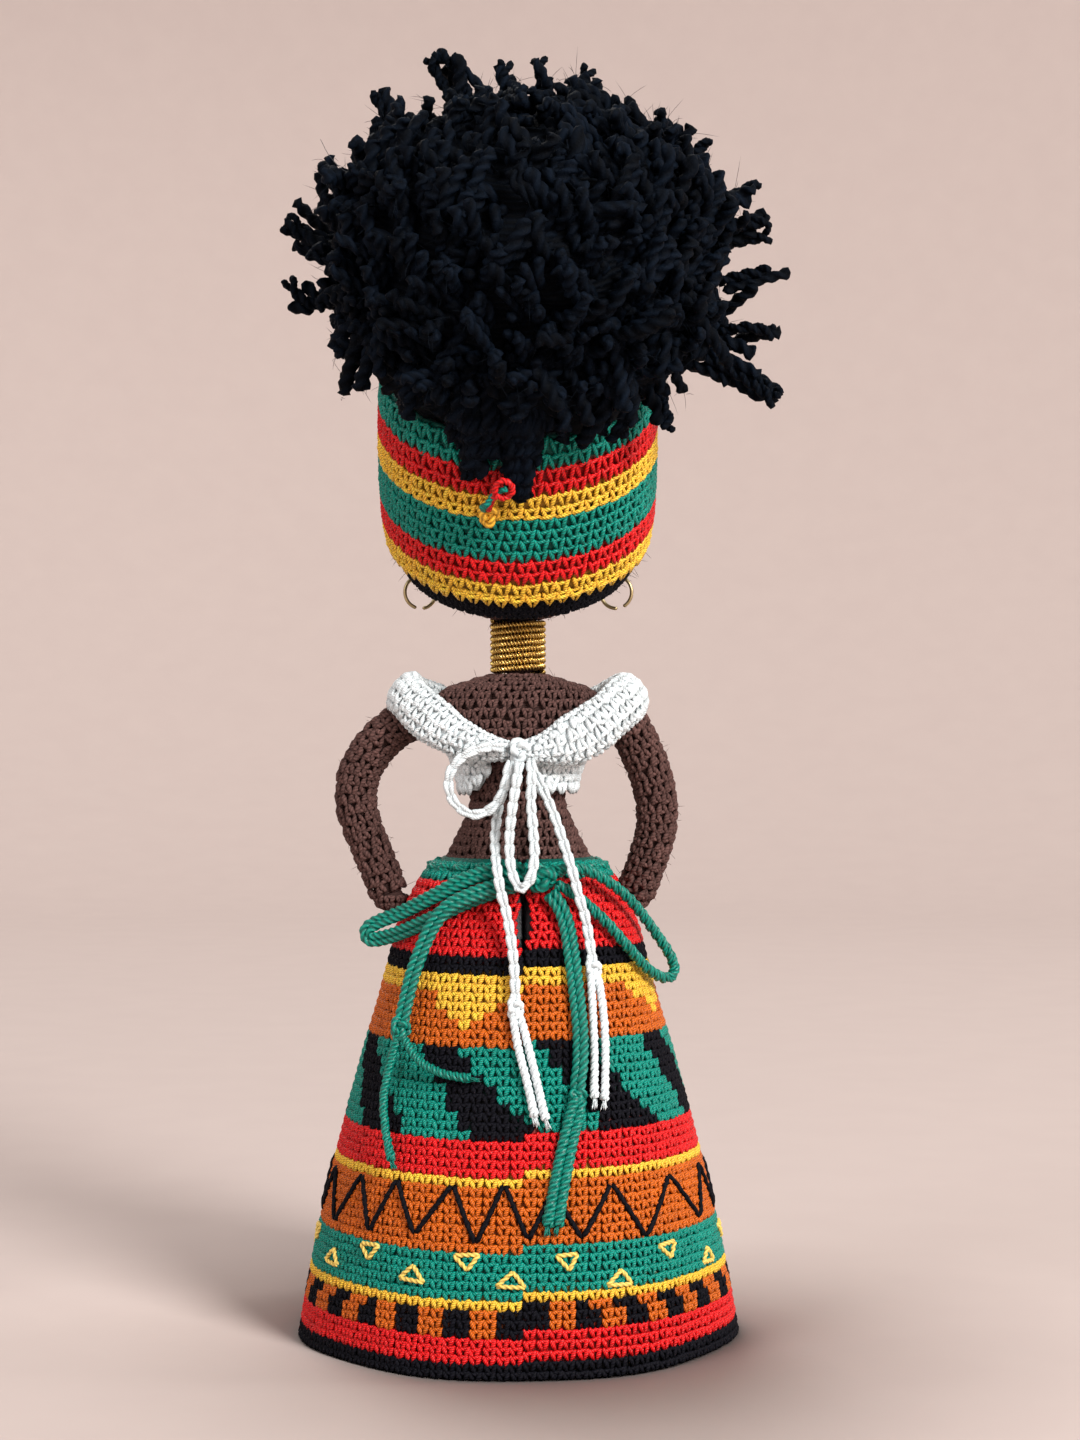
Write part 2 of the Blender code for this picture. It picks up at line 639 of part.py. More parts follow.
def make_earring(name, doll, brown, brass):
    """An open ring about its stitch, and the arch of yarn that it hangs in."""
    side = -1 if name == "left" else 1
    out = Vector((side * EAR_SHARE[0], EAR_SHARE[1], EAR_SHARE[2])).normalized()
    top = Vector((0, 0, HEAD_HEIGHT)) + (HEAD_RADIUS + RING_SEAT + RING_WIRE) * out
    flat = Vector((math.cos(RING_TURN), side * -math.sin(RING_TURN), 0))
    places = []
    for step in range(21):
        angle = RING_START[name] + RING_STEP * step
        spot = flat * (RING_RADIUS * math.cos(angle)) + Vector((0, 0, RING_RADIUS * (math.sin(angle) - 1)))
        places.append(tuple(spot))
    tube(f"earring_{name}", places, RING_WIRE, brass, doll, 1, top)
    across = (out - flat * out.dot(flat)).normalized()
    along = flat.cross(across)
    reach = RING_WIRE + SEAT_GAP + STITCH_WIRE
    arch = [
        tuple(across * (reach * math.sin(angle)) + along * (reach * math.cos(angle)))
        for angle in (STITCH_START + STITCH_STEP * step for step in range(7))
    ]
    tube(f"ear_stitch_{name}", arch, STITCH_WIRE, brown, doll, 1, top)


# White top: a band round the chest open at the back, and a folded collar round the shoulders
BODICE_OPENING = math.radians(22)
COLLAR_FLARE = math.radians(35)
COLLAR_DRAW_SHARES = (0.42, 0.62, 0.84, 1)
COLLAR_PLUMP_SHARES = (0.7, 0.3)


def make_bodice(doll, look, sides=30):
    """The band round the chest, following the torso, with its two back edges apart."""
    rows = smooth_rows(torso_rows()[:-1], 4)
    rings = []
    for step in range(sides + 1):
        turn = -math.pi / 2 + BODICE_OPENING + (2 * math.pi - 2 * BODICE_OPENING) * step / sides
        ring = []
        for share, grow in ((0, 0), (0.5, 0), (1, 0), (1, 1), (0.5, 1), (0, 1)):
            height = BODICE_LOW + share * (BODICE_HIGH - BODICE_LOW)
            width, depth = (float(np.interp(height, rows[:, 0], rows[:, axis])) for axis in (1, 2))
            swell = 2 * SEAT_GAP + grow * BODICE_WALL
            ring.append(Vector(((width + swell) * math.cos(turn), (depth + swell) * math.sin(turn), height)))
        rings.append(ring)
    mesh_object("bodice", *skin(rings), look, doll)


def make_collar(doll, look, steps=32, sides=10):
    """The folded band: level at the front, up over both arms, down the back to the knot."""
    start = math.asin(COLLAR_END / COLLAR_HALF_SPAN)
    turns = np.linspace(start, 2 * math.pi - start, steps + 1)
    back = np.cos(turns) > 0
    depth = np.where(back, COLLAR_BACK_DEPTH, COLLAR_FRONT_DEPTH)
    low = SHOULDER_HEIGHT - np.where(back, COLLAR_BACK_DROP, COLLAR_FRONT_DROP)
    high = SHOULDER_HEIGHT + COLLAR_SIDE_RISE
    climb = np.abs(np.sin(turns)) ** np.where(back, 1.0, 1.5)
    route = np.column_stack([
        -COLLAR_HALF_SPAN * np.sin(turns), -depth * np.cos(turns), low + (high - low) * climb
    ])
    ahead = np.gradient(route, axis=0)
    ahead /= np.linalg.norm(ahead, axis=1)[:, None]
    rings = []
    for index, turn in enumerate(turns):
        aside = abs(math.sin(turn)) ** 2
        flare = COLLAR_FLARE * aside
        out = np.array([-math.sin(turn), -math.cos(turn), 0])
        wide = math.cos(flare) * np.array([0, 0, 1.0]) - math.sin(flare) * out
        wide -= ahead[index] * wide.dot(ahead[index])
        wide /= np.linalg.norm(wide)
        thin = np.cross(ahead[index], wide)
        half = COLLAR_HALF_WIDTH + (COLLAR_SIDE_HALF_WIDTH - COLLAR_HALF_WIDTH) * aside
        draw = COLLAR_DRAW_SHARES[min(index, steps - index, len(COLLAR_DRAW_SHARES) - 1)]
        plump = COLLAR_PLUMP_SHARES[0] + COLLAR_PLUMP_SHARES[1] * draw
        ring = []
        for side in range(sides):
            angle = 2 * math.pi * side / sides
            ring.append(Vector(
                route[index] + half * draw * math.cos(angle) * wide
                + COLLAR_HALF_THICKNESS * plump * math.sin(angle) * thin
            ))
        rings.append(ring)
    mesh_object("collar", *skin(rings), look, doll)


# Cords: every route was chosen by hand along what the cord lies on
WHITE_KNOT = (0.0003, -0.0108, 0.0864)
WHITE_KNOT_HALF = (0.0017, 0.0015, 0.0017)
GREEN_KNOT = (0.0034, -0.0147, 0.0681)
GREEN_KNOT_HALF = (0.0019, 0.0015, 0.0017)
WHITE_LOOP_ROUND = (
    (-0.0018, -0.0113, 0.0868), (-0.0040, -0.0119, 0.0870), (-0.0067, -0.0123, 0.0863),
    (-0.0090, -0.0124, 0.0845), (-0.0100, -0.0124, 0.0820), (-0.0092, -0.0124, 0.0790),
    (-0.0066, -0.0125, 0.0772), (-0.0038, -0.0126, 0.0780), (-0.0021, -0.0127, 0.0804),
    (-0.0014, -0.0126, 0.0832), (-0.0010, -0.0121, 0.0848),
)
WHITE_LOOP_LONG = (
    (0.0004, -0.0130, 0.0849), (-0.0001, -0.0142, 0.0820), (-0.0007, -0.0149, 0.0780),
    (-0.0011, -0.0156, 0.0735), (-0.0008, -0.0172, 0.0695), (0.0005, -0.0182, 0.0668),
    (0.0019, -0.0180, 0.0682), (0.0025, -0.0172, 0.0712), (0.0023, -0.0158, 0.0750),
    (0.0020, -0.0149, 0.0790), (0.0021, -0.0142, 0.0825), (0.0020, -0.0129, 0.0852),
)
WHITE_TAIL_LEFT = (
    (-0.0004, -0.0104, 0.0844), (-0.0018, -0.0104, 0.0815), (-0.0028, -0.0109, 0.0778),
    (-0.0032, -0.0128, 0.0738), (-0.0030, -0.0154, 0.0706), (-0.0027, -0.0174, 0.0686),
    (-0.0023, -0.0181, 0.0664), (-0.0016, -0.0185, 0.0638), (-0.0010, -0.0191, 0.0608),
    (-0.0005, -0.0199, 0.0573), (-0.0003, -0.0206, 0.0546), (-0.0002, -0.0213, 0.0520),
)
WHITE_TAIL_RIGHT = (
    (0.0017, -0.0109, 0.0849), (0.0034, -0.0118, 0.0815), (0.0052, -0.0130, 0.0775),
    (0.0066, -0.0143, 0.0735), (0.0078, -0.0156, 0.0697), (0.0088, -0.0166, 0.0660),
    (0.0098, -0.0171, 0.0625), (0.0104, -0.0174, 0.0592), (0.0107, -0.0179, 0.0572),
)
GREEN_LOOP_LEFT = (
    (0.0013, -0.0146, 0.0689), (-0.0020, -0.0143, 0.0693), (-0.0070, -0.0135, 0.0680),
    (-0.0120, -0.0117, 0.0654), (-0.0168, -0.0086, 0.0628), (-0.0205, -0.0066, 0.0612),
    (-0.0222, -0.0062, 0.0600), (-0.0218, -0.0062, 0.0586), (-0.0196, -0.0071, 0.0589),
    (-0.0162, -0.0096, 0.0602), (-0.0118, -0.0127, 0.0624), (-0.0070, -0.0140, 0.0647),
    (-0.0020, -0.0144, 0.0665), (0.0012, -0.0147, 0.0673),
)
GREEN_LOOP_RIGHT = (
    (0.0055, -0.0143, 0.0690), (0.0085, -0.0133, 0.0695), (0.0125, -0.0110, 0.0678),
    (0.0165, -0.0083, 0.0645), (0.0203, -0.0048, 0.0595), (0.0228, -0.0032, 0.0556),
    (0.0232, -0.0034, 0.0533), (0.0217, -0.0048, 0.0527), (0.0190, -0.0090, 0.0545),
    (0.0160, -0.0119, 0.0580), (0.0130, -0.0131, 0.0615), (0.0095, -0.0139, 0.0647),
    (0.0056, -0.0150, 0.0674),
)
GREEN_TAIL_LEFT = (
    (0.0016, -0.0164, 0.0678), (-0.0020, -0.0163, 0.0672), (-0.0062, -0.0161, 0.0659),
    (-0.0098, -0.0157, 0.0641), (-0.0120, -0.0154, 0.0615), (-0.0136, -0.0157, 0.0582),
    (-0.0149, -0.0163, 0.0546), (-0.0157, -0.0168, 0.0515), (-0.0163, -0.0172, 0.0488),
)
GREEN_TAIL_RIGHT = (
    (0.0046, -0.0151, 0.0661), (0.0062, -0.0156, 0.0640), (0.0072, -0.0165, 0.0612),
    (0.0079, -0.0183, 0.0570), (0.0085, -0.0199, 0.0520), (0.0090, -0.0213, 0.0470),
    (0.0090, -0.0228, 0.0425), (0.0087, -0.0234, 0.0402),
)
END_KNOTS = {
    "white_tail_left_knot": ((-0.0002, -0.0217, 0.0501), 0.0011),
    "white_tail_right_knot": ((0.0109, -0.0182, 0.0553), 0.0011),
    "green_tail_left_knot": ((-0.0167, -0.0176, 0.0467), 0.0013),
    "green_tail_right_knot": ((0.0086, -0.0239, 0.0383), 0.0012),
}
THREADS = {
    "white_thread_left_a": ((-0.0004, -0.0222, 0.0484), (0.0003, -0.0234, 0.0445),
                            (0.0015, -0.0246, 0.0400), (0.0026, -0.0257, 0.0352)),
    "white_thread_left_b": ((0.0006, -0.0220, 0.0486), (0.0017, -0.0233, 0.0448),
                            (0.0029, -0.0246, 0.0400), (0.0041, -0.0257, 0.0348)),
    "white_thread_right_a": ((0.0106, -0.0189, 0.0538), (0.0108, -0.0200, 0.0495),
                             (0.0110, -0.0215, 0.0440), (0.0109, -0.0234, 0.0375)),
    "white_thread_right_b": ((0.0116, -0.0186, 0.0540), (0.0123, -0.0195, 0.0495),
                             (0.0126, -0.0209, 0.0440), (0.0124, -0.0228, 0.0371)),
    "green_thread_left_a": ((-0.0172, -0.0177, 0.0450), (-0.0182, -0.0179, 0.0415),
                            (-0.0190, -0.0187, 0.0370), (-0.0186, -0.0203, 0.0325), (-0.0176, -0.0221, 0.0285)),
    "green_thread_left_b": ((-0.0159, -0.0183, 0.0451), (-0.0138, -0.0203, 0.0425),
                            (-0.0104, -0.0225, 0.0410), (-0.0064, -0.0241, 0.0405)),
    "green_thread_right_a": ((0.0079, -0.0244, 0.0367), (0.0066, -0.0258, 0.0320),
                             (0.0054, -0.0272, 0.0265), (0.0043, -0.0289, 0.0205)),
    "green_thread_right_b": ((0.0090, -0.0241, 0.0365), (0.0079, -0.0256, 0.0320),
                             (0.0068, -0.0270, 0.0265), (0.0057, -0.0286, 0.0205)),
}


def make_cords(doll, white, green):
    """The white bow and the green bow: knots, loops, tails, end knots and threads."""
    ball("white_knot", WHITE_KNOT, WHITE_KNOT_HALF, white, doll)
    ball("green_knot", GREEN_KNOT, GREEN_KNOT_HALF, green, doll)
    cord("white_loop_round", WHITE_LOOP_ROUND, WHITE_CORD, white, doll)
    cord("white_loop_long", WHITE_LOOP_LONG, WHITE_CORD, white, doll)
    cord("white_tail_left", WHITE_TAIL_LEFT, WHITE_CORD, white, doll)
    cord("white_tail_right", WHITE_TAIL_RIGHT, WHITE_CORD, white, doll)
    cord("green_loop_left", GREEN_LOOP_LEFT, GREEN_CORD, green, doll)
    cord("green_loop_right", GREEN_LOOP_RIGHT, GREEN_CORD, green, doll)
    cord("green_tail_left", GREEN_TAIL_LEFT, GREEN_CORD, green, doll)
    cord("green_tail_right", GREEN_TAIL_RIGHT, GREEN_CORD, green, doll)
    for name, (centre, radius) in END_KNOTS.items():
        look = white if name.startswith("white") else green
        ball(name, centre, (radius, radius, 1.25 * radius), look, doll, 10, 6)
    for name, route in THREADS.items():
        look = white if name.startswith("white") else green
        cord(name, route, THREAD, look, doll)


def make_waist_cord(doll, look):
    """The drawstring round the skirt's top, from one side of the bow's knot to the other."""
    height = SKIRT_HEIGHT - GREEN_CORD
    grow = SEAT_GAP + GREEN_CORD / 2
    width = skirt_half_width(height - GREEN_CORD / 2) + grow
    depth = skirt_half_depth(height - GREEN_CORD / 2) + grow
    start = -math.pi / 2 + (GREEN_KNOT[0] + GREEN_KNOT_HALF[0] + SEAT_GAP) / width
    end = 3 * math.pi / 2 + (GREEN_KNOT[0] - GREEN_KNOT_HALF[0] - SEAT_GAP) / width
    places = []
    for turn in np.linspace(start, end, 28):
        places.append((width * math.cos(turn), depth * math.sin(turn), height))
    tube("waist_cord", places, GREEN_CORD / 2, look, doll, 2)


def main():
    """Model the doll, then set it over its footprint's middle."""
    clear_scene()
    brown = material("brown_yarn", (0.085, 0.038, 0.026), 0.9)
    black = material("black_yarn", (0.006, 0.007, 0.012), 0.9)
    white = material("white_yarn", (0.78, 0.80, 0.84), 0.6)
    green = material("green_yarn", (0.0, 0.20, 0.13), 0.6)
    red = material("red_yarn", (0.62, 0.012, 0.012), 0.7)
    yellow = material("yellow_yarn", (0.80, 0.50, 0.03), 0.7)
    gold = material("gold_thread", (0.75, 0.50, 0.12), 0.35, 1.0)
    brass = material("brass_ring", (0.60, 0.42, 0.16), 0.3, 1.0)
    wood = material("wood_stick", (0.55, 0.38, 0.20), 0.7)
    steel = material("steel_wire", (0.45, 0.45, 0.47), 0.35, 1.0)
    doll = empty("doll_axis", (0, 0, 0))
    leaning = empty("headband_axis", (0, 0, HEAD_HEIGHT), doll, HEAD_LEAN)
    make_skirt(doll, red)
    make_torso(doll, brown)
    make_neck(doll, wood, gold)
    for name in ("left", "right"):
        make_arm(name, doll, brown, steel)
        make_leg(name, doll, brown)
        make_earring(name, doll, brown, brass)
    make_head(doll, leaning, brown, black)
    make_headband(leaning, green, yellow)
    hair = make_hair(leaning, black)
    make_bodice(doll, white)
    make_collar(doll, white)
    make_cords(doll, white, green)
    make_waist_cord(doll, green)
    bpy.context.view_layer.update()
    back = min((hair.matrix_world @ vertex.co).y for vertex in hair.data.vertices)
    doll.location.y = -(back + HEM_RADIUS) / 2
    print(f"doll axis at y = {1000 * doll.location.y:.3f} mm")


main()
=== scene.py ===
"""The looks of a crocheted yarn doll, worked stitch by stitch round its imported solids."""

import math

import bpy
import numpy as np
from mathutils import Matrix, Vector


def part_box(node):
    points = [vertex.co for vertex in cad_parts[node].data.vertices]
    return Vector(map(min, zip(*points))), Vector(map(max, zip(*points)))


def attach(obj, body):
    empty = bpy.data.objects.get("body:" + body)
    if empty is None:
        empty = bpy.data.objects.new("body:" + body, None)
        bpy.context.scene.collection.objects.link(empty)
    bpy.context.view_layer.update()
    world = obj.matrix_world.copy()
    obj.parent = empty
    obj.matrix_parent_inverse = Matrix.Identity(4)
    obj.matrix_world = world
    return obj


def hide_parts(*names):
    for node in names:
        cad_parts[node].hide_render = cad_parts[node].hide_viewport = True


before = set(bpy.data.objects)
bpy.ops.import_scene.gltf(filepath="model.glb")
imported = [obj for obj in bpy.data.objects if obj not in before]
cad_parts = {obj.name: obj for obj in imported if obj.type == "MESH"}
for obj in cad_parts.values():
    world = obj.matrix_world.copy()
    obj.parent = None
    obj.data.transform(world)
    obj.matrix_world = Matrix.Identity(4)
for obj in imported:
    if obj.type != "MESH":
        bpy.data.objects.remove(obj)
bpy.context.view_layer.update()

# Camera, floor and light: the doll stands on a plain pale sweep and is seen from its back, level with its
# skirt's top. The doll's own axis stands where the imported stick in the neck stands.
stick_low, stick_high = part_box("neck_stick")
AXIS = np.array([0, (stick_low.y + stick_high.y) / 2, 0])
CAMERA_PLACE = (0.0033, -0.3800, 0.0909)
SENSOR = 36
LENS = SENSOR * 2533 / 1440
SWEEP_REACH = 0.8
SWEEP_BEND = 0.7
SWEEP_TOP = 0.95

camera_data = bpy.data.cameras.new("camera")
camera_data.sensor_fit = "AUTO"
camera_data.sensor_width = SENSOR
camera_data.lens = LENS
camera_data.clip_start = 0.01
camera = bpy.data.objects.new("camera", camera_data)
camera.location = AXIS + CAMERA_PLACE
camera.rotation_euler = (math.pi / 2, 0, 0)
bpy.context.scene.collection.objects.link(camera)
bpy.context.scene.camera = camera
bpy.context.scene.view_settings.view_transform = "Standard"


class Wire:
    """One output of a shader node. A sum or product written with it adds its Math node to the material."""

    def __init__(self, tree, output):
        self.tree = tree
        self.output = output

    def node(self, kind, settings, sockets, output=0):
        """Add a node: its settings first, then the value or the link of each of its sockets."""
        made = self.tree.nodes.new("ShaderNode" + kind)
        for name, value in settings.items():
            setattr(made, name, value)
        for name, value in sockets.items():
            if isinstance(value, Wire):
                self.tree.links.new(value.output, made.inputs[name])
            else:
                made.inputs[name].default_value = value
        return Wire(self.tree, made.outputs[output])

    def math(self, operation, *values):
        """A Math node on this value and others, or on the given values alone."""
        return self.node("Math", {"operation": operation}, dict(enumerate(values)))

    def __add__(self, other):
        return self.math("ADD", self, other)

    def __sub__(self, other):
        return self.math("SUBTRACT", self, other)

    def __rsub__(self, other):
        return self.math("SUBTRACT", other, self)

    def __mul__(self, other):
        return self.math("MULTIPLY", self, other)

    __radd__ = __add__
    __rmul__ = __mul__

    def wave(self):
        """A cosine that runs from 0 to 1 once for each unit."""
        return self.math("COSINE", self * (2 * math.pi)) * 0.5 + 0.5

    def mix(self, low, high):
        """A colour between two, by this value."""
        return self.node("Mix", {"data_type": "RGBA"}, {0: self, 6: low, 7: high}, 2)

    def scaled(self, factor):
        """A colour made lighter or darker by a factor."""
        return self.node("VectorMath", {"operation": "SCALE"}, {0: self, "Scale": factor})


def finish(name, **constants):
    """A material: what is the same all over is set on the shader's own sockets. Returns it with its shader."""
    made = bpy.data.materials.new(name)
    made.use_nodes = True
    shader = made.node_tree.nodes["Principled BSDF"]
    for socket, value in constants.items():
        shader.inputs[socket.replace("_", " ")].default_value = value
    return made, shader, Wire(made.node_tree, None)


def lead(shader, sockets):
    """Lead each wire to the shader's socket of that name."""
    for name, wire in sockets.items():
        wire.tree.links.new(wire.output, shader.inputs[name])


def skinned(rings, tips=None, tint=(0.8, 0.8, 0.8), along=None):
    """Closed skins over stacks of rings, shaped (skin, ring, side, 3).

    Ring joins ring. Each end closes on its tip, or the last ring joins the first where there are no tips.
    A corner's own place on the skin is its ring's distance along and its side's share of a turn.
    Returns points, triangles, corner places and tints.
    """
    count, steps, sides = rings.shape[:3]
    tint = np.broadcast_to(tint, rings.shape)
    points, tints = rings.reshape(count, -1, 3), tint.reshape(count, -1, 3)
    if along is None:
        along = np.broadcast_to(np.arange(steps, dtype=float), (count, steps))
    last = steps if tips is None else steps - 1
    step, side = (part.ravel() for part in np.mgrid[0:last, 0:sides])
    after, beyond = (side + 1) % sides, (step + 1) % steps
    a, b = step * sides + side, step * sides + after
    c, d = beyond * sides + after, beyond * sides + side
    faces = np.concatenate([np.stack([a, b, c], 1), np.stack([a, c, d], 1)])
    rows = np.concatenate([np.stack([step, step, beyond], 1), np.stack([step, beyond, beyond], 1)])
    turns = np.concatenate([np.stack([side, side + 1, side + 1], 1), np.stack([side, side + 1, side], 1)])
    if tips is not None:
        points = np.concatenate([points, tips], 1)
        tints = np.concatenate([tints, tint[:, :1, 0], tint[:, -1:, 0]], 1)
        flat = np.arange(sides)
        end = (steps - 1) * sides
        low = np.stack([(flat + 1) % sides, flat, np.full(sides, steps * sides)], 1)
        high = np.stack([end + flat, end + (flat + 1) % sides, np.full(sides, steps * sides + 1)], 1)
        faces = np.concatenate([faces, low, high])
        rows = np.concatenate([rows, np.zeros((sides, 3), int), np.full((sides, 3), steps - 1)])
        turns = np.concatenate([
            turns, np.stack([flat + 1, flat, flat + 0.5], 1), np.stack([flat, flat + 1, flat + 0.5], 1)
        ])
    places = np.stack([along[:, rows], np.broadcast_to(turns / sides, (count, *turns.shape))], -1)
    faces = faces + (points.shape[1] * np.arange(count))[:, None, None]
    corner = points.reshape(-1, 3)[faces.reshape(-1, 3)]
    if np.einsum("ij,ij->", corner[:, 0], np.cross(corner[:, 1], corner[:, 2])) < 0:
        faces, places = faces[:, :, ::-1], places[:, :, ::-1]
    return points.reshape(-1, 3), faces.reshape(-1, 3), places.reshape(-1, 3, 2), tints.reshape(-1, 3)


def joined(*shapes):
    """Several shapes as one."""
    starts = np.cumsum([0] + [len(shape[0]) for shape in shapes[:-1]])
    faces = np.concatenate([shape[1] + start for shape, start in zip(shapes, starts)])
    return (np.concatenate([shape[0] for shape in shapes]), faces,
            np.concatenate([shape[2] for shape in shapes]), np.concatenate([shape[3] for shape in shapes]))


def mesh_piece(name, shape, look):
    """A smooth mesh object at the origin, moved to the doll's axis, with its strand map and its tint."""
    points, faces, places, tints = shape
    mesh = bpy.data.meshes.new(name)
    mesh.vertices.add(len(points))
    mesh.vertices.foreach_set("co", (points + AXIS).astype(np.float32).ravel())
    mesh.loops.add(3 * len(faces))
    mesh.loops.foreach_set("vertex_index", faces.astype(np.int32).ravel())
    mesh.polygons.add(len(faces))
    mesh.polygons.foreach_set("loop_start", np.arange(0, 3 * len(faces), 3, dtype=np.int32))
    mesh.uv_layers.new(name="strand").data.foreach_set("uv", places.astype(np.float32).ravel())
    colour = mesh.color_attributes.new("tint", "FLOAT_COLOR", "POINT")
    colour.data.foreach_set("color", np.c_[tints, np.ones(len(tints))].astype(np.float32).ravel())
    mesh.update(calc_edges=True)
    mesh.validate()
    mesh.shade_smooth()
    mesh.materials.append(look)
    made = bpy.data.objects.new(name, mesh)
    bpy.context.scene.collection.objects.link(made)
    return made


def placed(name, shape, look, nodes=(), body="doll"):
    """A mesh piece that rides on a body and stands for the nodes it replaces."""
    made = mesh_piece(name, shape, look)
    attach(made, body)
    if nodes:
        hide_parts(*nodes)
    return made


def sweep_shape(steps=60, sides=128):
    """The floor: level within a circle, curving up as a quarter round and then upright, by turn and reach."""
    turn = 2 * math.pi * np.arange(sides) / sides
    level = np.linspace(0.02, SWEEP_REACH, 12)
    bend = np.linspace(0, math.pi / 2, steps)[1:]
    reach = np.concatenate([level, SWEEP_REACH + SWEEP_BEND * np.sin(bend), [SWEEP_REACH + SWEEP_BEND]])
    rise = np.concatenate([0 * level, SWEEP_BEND * (1 - np.cos(bend)), [SWEEP_TOP]])
    inner = np.stack([reach[:, None] * np.cos(turn), reach[:, None] * np.sin(turn),
                      np.broadcast_to(rise[:, None], (len(reach), sides))], -1)
    outer = inner[::-1] * (1.01, 1.01, 1) - (0, 0, 0.01)
    return skinned(np.concatenate([inner, outer])[None])


floor_look, floor_shader, wires = finish("floor_paper", Roughness=0.9)
grain = wires.node("TexNoise", {}, {"Vector": wires.node("TexCoord", {}, {}, 3), "Scale": 60.0, "Detail": 3.0})
lead(floor_shader, {
    "Base Color": grain.mix((0.485, 0.40, 0.375, 1), (0.515, 0.43, 0.40, 1)),
    "Normal": wires.node("Bump", {}, {"Height": grain, "Strength": 0.04, "Distance": 0.001}),
})
disc = skinned(np.stack([np.stack([0.03 * np.cos(np.arange(96) * math.pi / 48),
                                   0.03 * np.sin(np.arange(96) * math.pi / 48),
                                   np.full(96, height)], -1) for height in (-0.004, -0.0002)])[None],
               np.array([[[0, 0, -0.004], [0, 0, -0.0002]]]))
floor = mesh_piece("floor", joined(sweep_shape(), disc), floor_look)

world = bpy.data.worlds.new("studio")
world.use_nodes = True
world.node_tree.nodes["Background"].inputs["Color"].default_value = (1.0, 0.97, 0.94, 1)
world.node_tree.nodes["Background"].inputs["Strength"].default_value = 0.50
bpy.context.scene.world = world
# Each light: its place, what it faces, its width, its power and its colour.
LIGHTS = {
    "window": ((0.80, -1.00, 0.75), (0, 0, 0.09), 0.50, 27, (1.0, 0.985, 0.96)),
    "fill": ((-1.00, -0.85, 0.75), (0, 0, 0.09), 0.70, 6, (0.97, 0.98, 1.0)),
    "back": ((-0.35, 1.00, 1.15), (0, 0, 0.09), 0.70, 7, (1.0, 0.97, 0.94)),
    "wall": ((0.95, 0.20, 1.00), (0.50, 1.45, 0.40), 0.50, 5, (1.0, 0.98, 0.96)),
}
for light_name, (place, aim, size, power, colour) in LIGHTS.items():
    lamp_data = bpy.data.lights.new(light_name, "AREA")
    lamp_data.shape = "DISK"
    lamp_data.size = size
    lamp_data.energy = power
    lamp_data.color = colour
    lamp = bpy.data.objects.new(light_name, lamp_data)
    lamp.location = AXIS + place
    lamp.rotation_euler = (Vector(aim) - Vector(place)).to_track_quat("-Z", "Y").to_euler()
    bpy.context.scene.collection.objects.link(lamp)

# Body: crocheted in brown wool and stuffed hard, in single crochet worked round and round. The same stitch
# makes every worked piece of the doll: a V of two plump strands under a short bar.
TORSO_PROFILE = (
    (0.0590, 0.00549, 0.00441), (0.06012, 0.00927, 0.00745), (0.0625, 0.01159, 0.00931),
    (0.0660, 0.0122, 0.0098), (0.0705, 0.01013, 0.00827), (0.0790, 0.0065, 0.0056),
    (0.08577, 0.00871, 0.00651), (0.0913, 0.0121, 0.0070), (0.09466, 0.01125, 0.00581),
    (0.09618, 0.0075, 0.00462), (0.0974, 0.0031, 0.0031),
)
NECK_TOP = 0.1070
WOOL_STITCH = 0.00150
BROWN = (0.096, 0.050, 0.044)


def smooth(route, steps=8):
    """A Catmull-Rom curve through a route's rows, worked out for every span at once."""
    rows = np.array(route, float)
    padded = np.concatenate([2 * rows[:1] - rows[1:2], rows, 2 * rows[-1:] - rows[-2:-1]])
    t = (np.arange(steps) / steps)[None, :, None]
    before, start, end, after = (padded[k:len(rows) - 1 + k][:, None] for k in range(4))
    spans = ((-t + 2 * t**2 - t**3) * before + (2 - 5 * t**2 + 3 * t**3) * start
             + (t + 4 * t**2 - 3 * t**3) * end + (t**3 - t**2) * after) / 2
    return np.concatenate([spans.reshape(-1, rows.shape[1]), rows[-1:]])


def unit(vectors):
    """Each vector at length one."""
    return vectors / np.maximum(np.linalg.norm(vectors, axis=-1, keepdims=True), 1e-12)


def lengths(path):
    """The distance along a path, or along each of several, at each of its points."""
    step = np.linalg.norm(np.diff(path, axis=-2), axis=-1)
    return np.concatenate([np.zeros(step.shape[:-1] + (1,)), np.cumsum(step, -1)], -1)


def even(path, count):
    """The same path read at so many places, equally far apart."""
    along = lengths(path)
    wanted = np.linspace(0, along[-1], count)
    return np.stack([np.interp(wanted, along, path[:, k]) for k in range(path.shape[1])], -1)


def turned(profile):
    """A surface of level oval rounds over rows of height, half width and half depth.

    Its place at a turn and a distance along the profile is (half width cosine, half depth sine, height).
    Returns that function and the profile's length.
    """
    rows = np.array(profile, float)
    reach = lengths(np.stack([rows[:, 0], (rows[:, 1] + rows[:, 2]) / 2], -1))

    def place(turn, along):
        height, wide, deep = (np.interp(along, reach, rows[:, k]) for k in range(3))
        return np.stack(np.broadcast_arrays(wide * np.cos(turn), deep * np.sin(turn), height), -1)

    return place, reach[-1]


